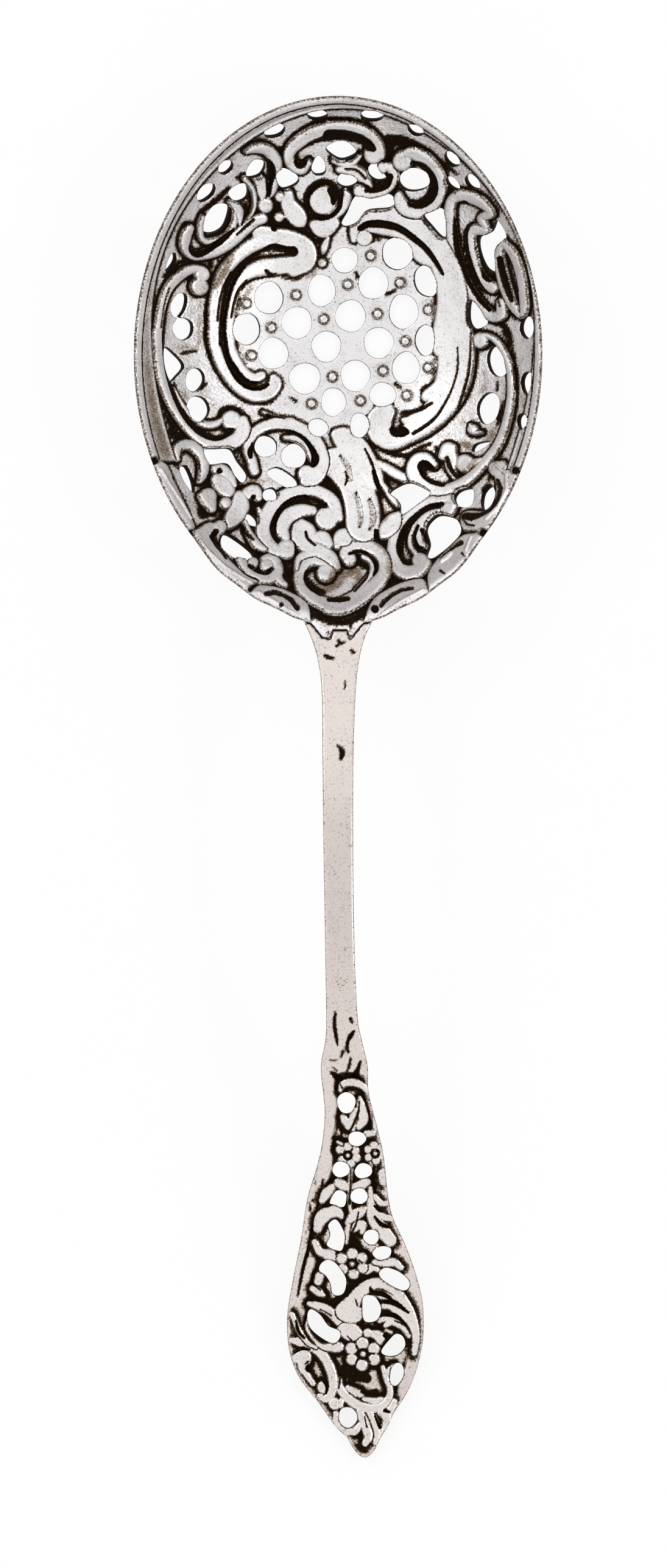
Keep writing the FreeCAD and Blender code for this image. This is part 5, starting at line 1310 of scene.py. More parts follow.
def oval_gap(plan, x, y, half_x, half_y, lean, phase):
    """Distance outside a leaning ellipse, whose radius wavers a little as a hand saw's cut does."""
    turn = math.radians(lean)
    dx = plan.x[None, :] - x
    dy = plan.y[:, None] - y
    across = dx * math.cos(turn) + dy * math.sin(turn)
    along = dy * math.cos(turn) - dx * math.sin(turn)
    angle = np.arctan2(along / half_y, across / half_x)
    waver = 1 + hole_waver * np.sin(3 * angle + phase) + hole_waver / 2 * np.sin(5 * angle + 2 * phase)
    ratio = np.hypot(across / half_x, along / half_y) / waver
    slope = np.hypot(across / half_x ** 2, along / half_y ** 2)
    return ratio * (ratio - 1) / np.maximum(slope, 1e-3)


def blurred(field, metal, sigma):
    """Average of a field over the metal near each point, with weights that fall off as a bell curve."""
    reach = math.ceil(2.5 * sigma)
    kernel = np.exp(-0.5 * (np.arange(-reach, reach + 1) / sigma) ** 2)
    weight = metal.astype(float)
    total = field * weight
    for axis in (0, 1):
        total = sum(k * np.roll(total, shift - reach, axis) for shift, k in enumerate(kernel))
        weight = sum(k * np.roll(weight, shift - reach, axis) for shift, k in enumerate(kernel))
    return total / np.maximum(weight, 1e-6)


def without_crumbs(depth, pitch):
    """The field with its small islands taken out. Islands are found by spreading the lowest index."""
    inside = depth > 0
    far = depth.size
    label = np.where(inside, np.arange(far).reshape(depth.shape), far)
    while True:
        padded = np.pad(label, 1, constant_values=far)
        lowest = np.minimum.reduce([padded[1:-1, 1:-1], padded[:-2, 1:-1], padded[2:, 1:-1],
                                    padded[1:-1, :-2], padded[1:-1, 2:]])
        lowest = np.where(inside, lowest, far)
        jumped = np.append(lowest.ravel(), far)[lowest]
        if np.array_equal(jumped, label):
            break
        label = jumped
    area = np.bincount(label.ravel(), minlength=far + 1) * pitch ** 2
    return np.where(inside & (area[label] < crumb_area), -1e-3, depth)


class Cut:
    """Triangles of the part of a grid where depth is above zero. An edge of the grid that leaves it is cut
    where depth, taken as straight along the edge, is zero, though never close to the edge's ends."""

    def __init__(self, plan, depth):
        flat = depth.ravel()
        index = np.arange(flat.size).reshape(depth.shape)
        a, b, c, d = (index[:-1, :-1], index[:-1, 1:], index[1:, 1:], index[1:, :-1])
        corners = np.concatenate([np.stack(three, -1).reshape(-1, 3) for three in ([a, b, c], [a, c, d])])
        inside = flat > 0
        count = inside[corners].sum(1)
        whole = corners[count == 3]
        one = self.turned(corners[count == 1], inside, True)
        two = self.turned(corners[count == 2], inside, False)
        edges = np.concatenate([one[:, [0, 1]], one[:, [0, 2]], two[:, [0, 1]], two[:, [0, 2]]])
        keys, place = np.unique(edges.min(1) * flat.size + edges.max(1), return_inverse=True)
        low, high = keys // flat.size, keys % flat.size
        used, grid_place = np.unique(np.concatenate([whole.ravel(), one[:, 0], two[:, 1:].ravel()]),
                                     return_inverse=True)
        self.first = np.concatenate([used, low])
        self.second = np.concatenate([used, high])
        share = np.clip(flat[low] / (flat[low] - flat[high]), cut_margin, 1 - cut_margin)
        self.share = np.concatenate([np.zeros(len(used)), share])
        place = place + len(used)
        n1, n2 = len(one), len(two)
        one_b, one_c = place[:n1], place[n1:2 * n1]
        two_b, two_c = place[2 * n1:2 * n1 + n2], place[2 * n1 + n2:]
        whole = grid_place[:whole.size].reshape(-1, 3)
        tip = grid_place[whole.size:whole.size + n1]
        pair = grid_place[whole.size + n1:].reshape(-1, 2)
        self.triangles = np.concatenate([
            whole, np.stack([tip, one_b, one_c], 1),
            np.stack([two_b, pair[:, 0], pair[:, 1]], 1), np.stack([two_b, pair[:, 1], two_c], 1)])
        self.rim = np.concatenate([np.stack([one_b, one_c], 1), np.stack([two_c, two_b], 1)])
        self.rim_start = len(used)
        self.count = len(self.first)
        x, y = np.meshgrid(plan.x, plan.y)
        self.x, self.y = self.sample(x), self.sample(y)
        slope_y, slope_x = np.gradient(depth, plan.pitch)
        slope_x, slope_y = self.sample(slope_x), self.sample(slope_y)
        size = np.maximum(np.hypot(slope_x, slope_y), 1e-6)
        self.out_x, self.out_y = -slope_x / size, -slope_y / size

    @staticmethod
    def turned(corners, inside, wanted):
        """Each triangle with the corner that stands alone brought first, its turn kept."""
        first = np.argmax(inside[corners] == wanted, axis=1)[:, None]
        return np.take_along_axis(corners, (first + np.arange(3)) % 3, axis=1)

    def sample(self, field):
        flat = field.ravel()
        return flat[self.first] * (1 - self.share) + flat[self.second] * self.share


def closed_shell(cut, place, top, bottom, edge_round):
    """Vertices and triangles of a closed plate: the cut at its top height, rows that round its edges, and the
    same cut turned over at its bottom height. place(x, y, height) gives points in space."""
    edge = np.arange(cut.rim_start, cut.count)
    layers = [place(cut.x, cut.y, top)]
    rows = [edge]
    start = cut.count
    if edge_round:
        bends = [(math.pi / 4, 0), (math.pi / 2, 0), (math.pi / 2, 1), (math.pi / 4, 1)]
        for bend, under in bends:
            out = edge_round * math.sin(bend)
            drop = edge_round * (1 - math.cos(bend))
            height = bottom[edge] + drop if under else top[edge] - drop
            x, y = cut.x[edge] + out * cut.out_x[edge], cut.y[edge] + out * cut.out_y[edge]
            layers.append(place(x, y, height))
            rows.append(start + np.arange(len(edge)))
            start += len(edge)
    layers.append(place(cut.x, cut.y, bottom))
    rows.append(start + edge)
    faces = [cut.triangles]
    a, b = (cut.rim - cut.rim_start).T
    for upper, lower in zip(rows, rows[1:]):
        faces.append(np.stack([upper[b], upper[a], lower[a]], 1))
        faces.append(np.stack([upper[b], lower[a], lower[b]], 1))
    faces.append(start + cut.triangles[:, ::-1])
    return np.concatenate(layers), np.concatenate(faces), (len(rows) - 2) * len(edge)


def bowl_section():
    """Radius, height and slope angle along the half section of the bowl's face, and the height of the heel's
    underside."""
    arc = np.linspace(0, edge_angle, 60)
    curl = np.linspace(edge_angle, heel_slope, 24)[1:]
    centre_z = bowl_wall + arc_radius
    curl_r = flat_radius + (arc_radius + heel_curl_radius) * math.sin(edge_angle)
    curl_z = centre_z - (arc_radius + heel_curl_radius) * math.cos(edge_angle)
    radius = np.concatenate([[0], flat_radius + arc_radius * np.sin(arc),
                             curl_r - heel_curl_radius * np.sin(curl)])
    height = np.concatenate([[bowl_wall], centre_z - arc_radius * np.cos(arc),
                             curl_z + heel_curl_radius * np.cos(curl)])
    angle = np.concatenate([[0], arc, curl])
    heel_height = curl_z + (heel_curl_radius - bowl_wall) * math.cos(heel_slope)
    return (np.append(radius, radius[-1] + lip_length),
            np.append(height, height[-1] + lip_length * math.tan(heel_slope)),
            np.append(angle, heel_slope), heel_height)


section_radius, section_height, section_angle, heel_height = bowl_section()


def bowl_face(x, y):
    """Height of the bowl's face and its normal: the half section read at the squeezed radius."""
    along = y - bowl_y
    radius = np.maximum(np.hypot(x / squeeze, along), 1e-6)
    height = np.interp(radius, section_radius, section_height)
    slope = np.tan(np.interp(radius, section_radius, section_angle))
    tilt_x = -slope * x / (squeeze ** 2 * radius)
    normal = np.stack([tilt_x, -slope * along / radius, np.ones_like(radius)], -1)
    return height, normal / np.linalg.norm(normal, axis=-1, keepdims=True), radius


def on_bowl(x, y, height):
    """Points raised from the bowl's face along its normal. Below the face, the last few millimetres before
    the rim go straight down instead, so that the rim is upright."""
    face, normal, radius = bowl_face(x, y)
    base = np.stack([x, y, face], -1)
    upright = np.zeros_like(normal)
    upright[..., 2] = 1 / normal[..., 2]
    inner = smoothstep(half_length - radius, 0.0, upright_rim)[..., None]
    under = inner * normal + (1 - inner) * upright
    return base + height[..., None] * np.where(height[..., None] < 0, under, normal)


arch_points = [(shoulder_y - share * handle_length, rise * heel_height) for share, rise in arch_shares]
arch_line = smooth_line(arch_points, outline_step)
arch_line = arch_line[np.argsort(arch_line[:, 0])]


def on_handle(x, y, height):
    """Points raised straight up from the ground of the handle, which follows its arch in side view."""
    ground = np.interp(y, arch_line[:, 0], np.maximum(arch_line[:, 1], 0)) + stem_thickness
    return np.stack([x, y, ground + height], -1)


def add_piece(name, nodes, material, layers, faces, marks):
    """A mesh object from vertices in millimetres, triangles and point attributes, placed in the frame."""
    mesh = bpy.data.meshes.new(name + "_silver")
    mesh.vertices.add(len(layers))
    mesh.vertices.foreach_set("co", (layers / MM).astype(np.float32).ravel())
    mesh.loops.add(faces.size)
    mesh.loops.foreach_set("vertex_index", faces.astype(np.int32).ravel())
    mesh.polygons.add(len(faces))
    mesh.polygons.foreach_set("loop_start", np.arange(0, faces.size, 3, dtype=np.int32))
    mesh.update(calc_edges=True)
    mesh.polygons.foreach_set("use_smooth", np.ones(len(faces), bool))
    for key, values in marks.items():
        attribute = mesh.attributes.new(key, "FLOAT", "POINT")
        attribute.data.foreach_set("value", values.astype(np.float32))
    mesh.validate()
    mesh.materials.append(material)
    piece = bpy.data.objects.new(name + "_silver", mesh)
    bpy.context.scene.collection.objects.link(piece)
    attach(piece, "root")
    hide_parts(*nodes)
    return piece


def ornament_lines(rows, point_at, step=None, kind=None):
    """Strokes of a table as (kind, points in millimetres with the width third). A row that is only a name
    says in which crop the next rows were read. A step makes smooth curves of them, and a kind given for the
    whole table isn't in its rows."""
    lines = []
    for row in rows:
        if isinstance(row, str):
            crop = row
            continue
        row_kind, *points = (kind, *row) if kind else row
        line = np.array([(*point_at(crop, x, y), width) for x, y, width in points])
        lines.append((row_kind, smooth_line(line, step) if step and len(line) > 1 else line))
    return lines


def photo_spot(crop, x, y):
    """Photo pixel of a crop pixel: the crop's corner, and the way from it at its enlargement."""
    left, top, enlargement = crop_pixels[crop]
    return left + x / enlargement, top + y / enlargement


def bowl_spot(crop, x, y):
    """Place on the bowl of a crop pixel."""
    across, down = photo_spot(crop, x, y)
    return ((across - bowl_centre_pixels[0]) / bowl_half_pixels[0] * half_width,
            bowl_y - (down - bowl_centre_pixels[1]) / bowl_half_pixels[1] * half_length)


def end_spot(crop, x, y):
    """Place on the handle of a crop pixel."""
    across, down = photo_spot(crop, x, y)
    return (across - spoon_middle_pixels[0]) * photo_pixel, (spoon_middle_pixels[1] - down) * photo_pixel


def end_place(s, t):
    return end_offset + s * end_width / 2, end_y + t * end_length / 2


def bowl_place(u, v):
    return u * half_width, bowl_y + v * half_length


def hole_gaps(plan, ovals, outlines, place, half_x_unit, half_y_unit):
    """Distance outside the nearest hole, up to the reach: ovals as place, half axes and lean, and outlines,
    all in shares that place() and the two units turn into millimetres."""
    gaps = np.full(plan.shape, field_reach)
    for number, (u, v, half_u, half_v, lean) in enumerate(ovals):
        x, y = place(u, v)
        half_x, half_y = half_u * half_x_unit, half_v * half_y_unit
        rows, cols = plan.window((x, y), (x, y), max(half_x, half_y) + field_reach)
        gap = oval_gap(plan.part(rows, cols), x, y, half_x, half_y, lean, number)
        gaps[rows, cols] = np.minimum(gaps[rows, cols], gap)
    for shares in outlines:
        points = smooth_line([place(u, v) for u, v in shares], hole_step, True)
        rows, cols = plan.window(points.min(0), points.max(0), field_reach)
        gap = -outline_depth(plan.part(rows, cols), points)
        gaps[rows, cols] = np.minimum(gaps[rows, cols], gap)
    return gaps


class Relief:
    """Heights and marks of all that lies on one face, worked out together, so that pieces butt and dark
    tarnish gathers in every low place between them."""

    def __init__(self, plan, outline, holes, chased, settings):
        self.plan = plan
        self.outline = outline
        self.metal = np.minimum(outline, holes)
        self.clear = self.metal
        self.worn = smoothstep(outline, 0.0, worn_edge)
        self.chased = chased
        self.settings = settings
        self.height = np.zeros(plan.shape)
        self.dark = np.zeros(plan.shape)
        self.dust = np.zeros(plan.shape)
        self.foot = np.full(plan.shape, foot_tone)
        self.foot_width = foot_width
        self.dark_spread = 0.0
        self.claimed = np.full(plan.shape, OUTSIDE)
        self.shore = np.full(plan.shape, OUTSIDE)
        self.pieces = {}

    def room(self, lines):
        """Part of the grid that a set of strokes needs."""
        points = np.concatenate([line for _, line in lines])
        reach = points[:, 2].max() + max(window_margin, self.foot_width)
        return self.plan.window(points[:, :2].min(0), points[:, :2].max(0), reach)

    def shouldered(self, inside, half):
        """Height of a raised shape: upright at its edge, then rounded over its shoulder."""
        rise = quarter_round(inside, np.minimum(half, self.settings.shoulder))
        return self.settings.relief_height * (edge_share + (1 - edge_share) * rise)

    def bodies(self, plan, lines):
        """Depth and height of the strokes, knobs and berries that stand up, each with its own rounded
        shoulder, so that where two meet a crease is left. A berry also has a moat cut round it."""
        ledge = self.settings.relief_height * edge_share
        depth = np.full(plan.shape, OUTSIDE)
        height = np.zeros(plan.shape)
        for kind, line in lines:
            if kind == "body":
                inside, half = stroke_depth(plan, line)
                raised = self.shouldered(inside, half)
            elif kind == "knob":
                inside = disc_depth(plan, *line[0])
                raised = self.shouldered(inside, line[0, 2])
            elif kind == "berry":
                inside = disc_depth(plan, *line[0])
                raised = ledge + self.settings.berry_height * quarter_round(inside, line[0, 2])
                moat = (inside < 0) & (inside > -moat_width)
                height = np.where(moat, np.minimum(height, ledge), height)
            else:
                continue
            height = np.maximum(height, np.where(inside > 0, raised, 0))
            depth = np.maximum(depth, inside)
        return depth, height

    def chase(self, plan, lines, height, dark):
        """Marks worked into a height, each as round-bottomed as a punch leaves it: strokes, pits and rings,
        which are sunk, raised or only stained as their kind says."""
        for kind, line in lines:
            if kind not in chased_marks:
                continue
            if kind == "pit":
                half = line[0, 2]
                inside = disc_depth(plan, *line[0])
            elif kind == "ring":
                half = moat_width / 2
                inside = half - np.abs(disc_depth(plan, *line[0]))
            else:
                inside, half = stroke_depth(plan, line)
            cut, black = chased_marks[kind]
            share = np.clip(inside / half, 0, 1)
            hollow = share * (2 - share)
            height = height - self.settings.groove_depth * cut * hollow
            fade = min(soft_edge, soft_share * np.max(half))
            dark = np.maximum(dark, black * smoothstep(inside + self.dark_spread, -soft_edge, fade))
        return height, dark

    def add(self, name, lines, outline=None):
        """One piece: its strokes and, where it has one, its outline, trimmed to the metal and to the pieces
        that are there before it."""
        rows, cols = (slice(None), slice(None)) if outline is not None else self.room(lines)
        plan = self.plan.part(rows, cols)
        depth, height = self.bodies(plan, lines)
        if outline is not None:
            band = band_share * self.shouldered(outline, self.settings.shoulder)
            height = np.where(outline > 0, np.maximum(height, band), height)
            depth = np.maximum(depth, outline)
        self.shore[rows, cols] = np.maximum(self.shore[rows, cols], depth)
        depth = np.minimum(depth, np.minimum(self.clear[rows, cols], -self.claimed[rows, cols] - piece_gap))
        depth = without_crumbs(depth, plan.pitch)
        height, dark = self.chase(plan, lines, height, np.zeros(plan.shape))
        lip = edge_share + trimmed_rise * quarter_round(depth, trimmed_shoulder)
        height = np.clip(np.minimum(height, self.settings.relief_height * lip), least_height, None)
        there = depth > 0
        self.height[rows, cols] = np.where(there, height, self.height[rows, cols])
        self.dark[rows, cols] = np.where(there, dark, self.dark[rows, cols])
        self.claimed[rows, cols] = np.maximum(self.claimed[rows, cols], np.where(there, depth, OUTSIDE))
        self.pieces[name] = (rows, cols, depth)

    def mark_open(self, marks, residue=()):
        """Marks of the face between the pieces, and the strokes where polish residue has dried."""
        bare = self.claimed <= 0
        height, dark = self.chase(self.plan, marks, self.height, self.dark)
        self.height = np.where(bare, height, self.height)
        self.dark = np.where(bare, dark, self.dark)
        for _, line in residue:
            inside, half = stroke_depth(self.plan, line)
            self.dust = np.maximum(self.dust, residue_tone * smoothstep(inside / half, 0.0, residue_full))

    def tarnish(self):
        """The three fields that the silver's shader reads. Patina and shade is the black of the pieces:
        tarnish in their cuts and low places, painted shade on their rounded shoulders by the edges, and a
        darker line along the outer edge. Ground is the black of the plate under them: its marks, the feet of
        the pieces and the gaps between them. Grime is the tan dust and brown film of open ground."""
        metal = self.metal > 0
        bare = self.claimed <= 0
        near = blurred(self.height, metal, near_blur / self.plan.pitch)
        wide = blurred(self.height, metal, wide_blur / self.plan.pitch)
        low = low_tone * smoothstep(near - self.height, *low_drop) * (1 - bare)
        # painted shade: darker over each piece's rounded shoulder towards its edge
        edge = shoulder_shade_tone * smoothstep(self.claimed, *shoulder_shade_span) * (1 - bare)
        outer = outer_tone * smoothstep(self.outline, outer_edge, outer_edge / 3)
        # black holds the tarnish of cuts and low places and the painted shade of the shoulders
        black = np.clip(np.maximum(np.maximum(self.dark, edge), low), 0, 1)
        self.patina_and_shade = np.maximum(black * self.worn, outer)
        foot = self.foot * smoothstep(self.shore, -self.foot_width, 0.0)
        foot = foot * (lattice_foot_share + (1 - lattice_foot_share) * self.chased)
        foot = np.maximum(foot, smoothstep(wide - self.height, *gap_drop) * self.chased)
        ground = blurred(np.where(bare, self.dark, foot), metal, foot_blur / self.plan.pitch)
        self.ground = np.clip(np.maximum(ground, foot), 0, 1) * self.worn
        dust = blurred(self.dust, metal, dust_blur / self.plan.pitch)
        sunk = chased_tone * self.chased + open_tone * smoothstep(wide - self.height, *open_drop)
        sunk = sunk * (piece_grime + (1 - piece_grime) * bare)
        self.grime = np.clip(np.maximum(dust, sunk), 0, 1) * self.worn


def add_rim_band(relief):
    """The plain band inside the rim: from notch to notch over the tip, with a thread cut along its outer edge
    and a hollow inside the thread, toned darker towards the left."""
    plan, outline = relief.plan, relief.outline
    inner = oval_gap(plan, (rim_band_left - rim_band_right) / 2, bowl_y,
                     half_width - (rim_band_left + rim_band_right) / 2, half_length - rim_band_tip, 0, 0)
    left_notch, right_notch = (bowl_place(*share) for share in notch_shares[:2])
    slope = (right_notch[1] - left_notch[1]) / (right_notch[0] - left_notch[0])
    above = plan.y[:, None] - left_notch[1] - slope * (plan.x[None, :] - left_notch[0])
    relief.add("rim_band", [], np.minimum(np.minimum(outline, inner), above))
    depth = relief.pieces["rim_band"][2]
    thread = 1 - np.abs(outline - rim_line_inset) / rim_line_half
    threaded = depth > rim_line_clear
    relief.height -= rim_line_depth * np.clip(thread, 0, 1) * threaded
    relief.dark = np.maximum(relief.dark, rim_line_tone * smoothstep(thread, 0, rim_line_fade) * threaded)
    hollow = smoothstep(outline, *rim_hollow_inset) * (depth > rim_hollow_clear[0])
    # a tan tone in the hollow, stronger towards the left, laid into the dust field
    side = rim_hollow_tone_right + (1 - rim_hollow_tone_right) * smoothstep(-plan.x[None, :], *rim_hollow_tone_span)
    relief.dust = np.maximum(relief.dust, rim_hollow_tone * hollow * side)
    relief.height -= rim_hollow_depth * hollow * smoothstep(depth, *rim_hollow_clear)


def add_bosses(relief):
    """All ring bosses as one piece: a berry each, with a ring cut round its top."""
    bosses = []
    for u, v in boss_shares:
        x, y = bowl_place(u, v)
        bosses.append(("berry", np.array([(x, y, boss_radius)])))
        bosses.append(("ring", np.array([(x, y, boss_ring_share * boss_radius)])))
        rows, cols = relief.plan.window((x, y), (x, y), boss_radius + window_margin)
        relief.foot[rows, cols] = boss_foot_tone
    relief.add("lattice_bosses", bosses)


@lru_cache
def bowl_relief():
    """The bowl's holes, outline and all its ornament on one grid."""
    plan = Plan(np.arange(-half_width - grid_margin, half_width + grid_margin, bowl_pitch),
                np.arange(bowl_y - bowl_grid_share * half_length, spoon_tip + grid_margin, bowl_pitch))
    outline = outline_depth(plan, bowl_outline())
    holes = hole_gaps(plan, lattice_hole_shares + oval_hole_shares, free_hole_shares, bowl_place,
                      half_width, half_length)
    notches = np.full(plan.shape, field_reach)
    for u, v in notch_shares:
        notches = np.minimum(notches, -disc_depth(plan, *bowl_place(u, v), notch_radius))
    across = plan.x[None, :] / half_width / lattice_half_shares[0]
    along = ((plan.y[:, None] - bowl_y) / half_length - lattice_middle_share) / lattice_half_shares[1]
    chased = smoothstep(np.hypot(across, along), *lattice_fade)
    relief = Relief(plan, outline, holes, chased, bpy.context.scene.berry_spoon)
    relief.clear = np.minimum(relief.metal, notches)
    relief.dark_spread = dark_spread
    relief.worn = np.maximum(relief.worn, smoothstep(notches, notch_worn, 0.0))
    add_rim_band(relief)
    for name, shares in border_shares.items():
        inner = outline_depth(plan, smooth_line([bowl_place(u, v) for u, v in shares], outline_step, True))
        relief.add(name, ornament_lines(border_rows[name], bowl_spot), np.minimum(outline, inner))
    for name, rows in scroll_rows.items():
        relief.add(name, ornament_lines(rows, bowl_spot, stroke_step))
    add_bosses(relief)
    marks = []
    for kind, rows in sheet_rows.items():
        marks += ornament_lines(rows, bowl_spot, stain_step, kind)
    relief.mark_open(marks, ornament_lines(residue_rows, bowl_spot, residue_step, "residue"))
    relief.tarnish()
    return relief


@lru_cache
def end_relief():
    """The handle's outline, holes and sunk ground, and the ornament of its end plate."""
    settings = bpy.context.scene.berry_spoon
    side = end_width / 2 + plate_margin
    plan = Plan(np.arange(end_offset - side, end_offset + side, end_pitch),
                np.arange(spoon_tip - spoon_length - grid_margin, shoulder_y + lap_length + plate_margin,
                          end_pitch))
    outline = outline_depth(plan, handle_outline())
    holes = hole_gaps(plan, end_oval_shares, end_free_shares, end_place, end_width / 2, end_length / 2)
    ground = smooth_line([end_place(s, t) for s, t in end_ground_shares], outline_step, True)
    sunk = outline_depth(plan, ground)
    relief = Relief(plan, outline, holes, smoothstep(sunk, -ground_edge, ground_edge), settings)
    relief.foot_width = end_foot_width
    relief.height = settings.relief_height * (1 - smoothstep(sunk, -sunk_edge, sunk_edge))
    pitted = np.abs(plan.y - (spoon_middle_pixels[1] - stem_pitted_pixel) * photo_pixel)
    relief.dust += pitted_tone * smoothstep(pitted, *pitted_span)[:, None]
    for name, rows in end_rows.items():
        relief.add(name, ornament_lines(rows, end_spot, stroke_step))
    relief.mark_open(ornament_lines(handle_rows, end_spot, stroke_step))
    relief.tarnish()
    return relief


def bowl_outline():
    """Plan of the bowl: an ellipse over the tip, a flare each side and the tongue at the heel."""
    start = math.atan2(flare_shares[0][1], flare_shares[0][0])
    angle = np.linspace(start, math.pi - start, 240)
    ellipse = np.stack([half_width * np.cos(angle), bowl_y + half_length * np.sin(angle)], 1)
    flare = np.array([bowl_place(u, v) for u, v in flare_shares + [shoulder_point_share]])
    flare[0] = ellipse[0]
    right = smooth_line(flare, outline_step)[1:]
    left = right * (-1, 1)
    tongue = np.array([bowl_place(u, v) for u, v in tongue_shares])
    return np.concatenate([ellipse, left, tongue[::-1], right[::-1]])


def handle_outline():
    """Plan of the handle: smooth left edge, tip and right edge, and the lap that runs on under the heel."""
    foot_y = end_place(0, end_left_shares[0][1])[1] + end_length * stem_foot_share
    run = shoulder_y - foot_y
    left = [(low * stem_width, shoulder_y - share * run) for share, low, high in stem_shares]
    right = [(high * stem_width, shoulder_y - share * run) for share, low, high in stem_shares]
    left += [end_place(s, t) for s, t in end_left_shares]
    right += [end_place(s, t) for s, t in end_right_shares[::-1]]
    tip = [left[-1]] + [end_place(s, t) for s, t in end_tip_shares] + [right[-1]]
    lap = np.array([(share * stem_width, shoulder_y + lap_length) for share in lap_shares])
    return np.concatenate([smooth_line(left, stem_step), smooth_line(tip, tip_step)[1:-1],
                           smooth_line(right, stem_step)[::-1], lap])


def make_relief_piece(relief, name, place):
    """Mesh of one ornament: its part of the relief, closed by a bed just under the face that it lies on."""
    rows, cols, depth = relief.pieces[name]
    cut = Cut(relief.plan.part(rows, cols), depth)
    top = cut.sample(relief.height[rows, cols])
    layers, faces, between = closed_shell(cut, place, top, np.full(cut.count, bed), 0)
    beating = relief_beating[0] + relief_beating[1] * relief.chased
    marks = {}
    for key, field in (("patina_and_shade", relief.patina_and_shade), ("grime", relief.grime), ("chased", beating)):
        value = cut.sample(field[rows, cols])
        marks[key] = np.concatenate([value, np.ones(between), value])
    return add_piece(name, [name], relief_silver(), layers, faces, marks)


def make_plate(relief, name, stride, depth, top_field, thickness, edge_round, place, material):
    """Mesh of a plate of one thickness with rounded edges, on every few lines of the grid. The walls of its
    holes and edges carry painted shade with some patina, darkest half way down, and worn cleaner along the
    outer edge."""
    every = (slice(None, None, stride), slice(None, None, stride))
    plan = Plan(relief.plan.x[::stride], relief.plan.y[::stride])
    cut = Cut(plan, without_crumbs(depth[every] - edge_round, plan.pitch))
    top = cut.sample(top_field[every])
    layers, faces, between = closed_shell(cut, place, top, np.full(cut.count, -thickness), edge_round)
    beating = plate_beating[0] + plate_beating[1] * relief.chased
    fields = {"patina_and_shade": relief.ground, "grime": relief.grime, "chased": beating}
    rim_worn = 1 - cut.sample(smoothstep(relief.outline, 0.0, wall_worn_width)[every])[cut.rim_start:]
    marks = {}
    for (key, field), back, full_wall in zip(fields.items(), back_marks, wall_marks):
        value = cut.sample(field[every])
        edge = value[cut.rim_start:]
        # painted shade on the walls of holes and edges, with some patina: darkest half way down
        wall = full_wall * (1 - wall_worn_share * rim_worn)
        fade = np.concatenate([np.maximum(edge, wall_top_share * wall), np.maximum(edge, wall), wall, wall])
        marks[key] = np.concatenate([value, fade, np.full(cut.count, back)])
    return add_piece(name, [name], material, layers, faces, marks)


def linear(hex_colour):
    """sRGB hex to linear red, green, blue and alpha."""
    parts = [int(hex_colour[i:i + 2], 16) / 255 for i in (1, 3, 5)]
    return [p / 12.92 if p <= 0.04045 else ((p + 0.055) / 1.055) ** 2.4 for p in parts] + [1.0]


def add_node(tree, kind, inputs=None, **settings):
    """One node with its settings, and its inputs set to values or linked to sockets."""
    node = tree.nodes.new(kind)
    for name, value in settings.items():
        setattr(node, name, value)
    for name, value in (inputs or {}).items():
        if isinstance(value, bpy.types.NodeSocket):
            tree.links.new(value, node.inputs[name])
        else:
            node.inputs[name].default_value = value
    return node


def new_material(name):
    material = bpy.data.materials.new(name)
    material.use_nodes = True
    material.node_tree.nodes.clear()
    return material, material.node_tree


def per_metre(size):
    """Scale of a texture whose features are as large as a size in millimetres."""
    return MM / size


def noise(tree, place, size, roughness):
    """Noise whose features are as large as a size in millimetres."""
    node = add_node(tree, "ShaderNodeTexNoise", {"Vector": place, "Scale": per_metre(size), "Detail": 4.0,
                                                 "Roughness": roughness})
    return node.outputs["Fac"]


def worked(tree, operation, *values):
    """Values put together by one arithmetic operation."""
    return add_node(tree, "ShaderNodeMath", dict(enumerate(values)), operation=operation).outputs["Value"]


def weighed(tree, fields, weights):
    """Sum of fields times their weights."""
    total = 0.0
    for key, weight in weights.items():
        total = worked(tree, "MULTIPLY_ADD", fields[key], weight, total)
    return total


def ramp(tree, value, low, high, top, bottom=0.0):
    """Bottom on low's side, top on high's side and smooth between."""
    node = add_node(tree, "ShaderNodeMapRange", {"Value": value, "From Min": low, "From Max": high,
                                                 "To Min": bottom, "To Max": top},
                    interpolation_type="SMOOTHSTEP")
    return node.outputs["Result"]


def mixed(tree, share, first, second):
    """Colour between two, by share."""
    node = add_node(tree, "ShaderNodeMix", {"Factor": share, 6: first, 7: second}, data_type="RGBA")
    return node.outputs[2]


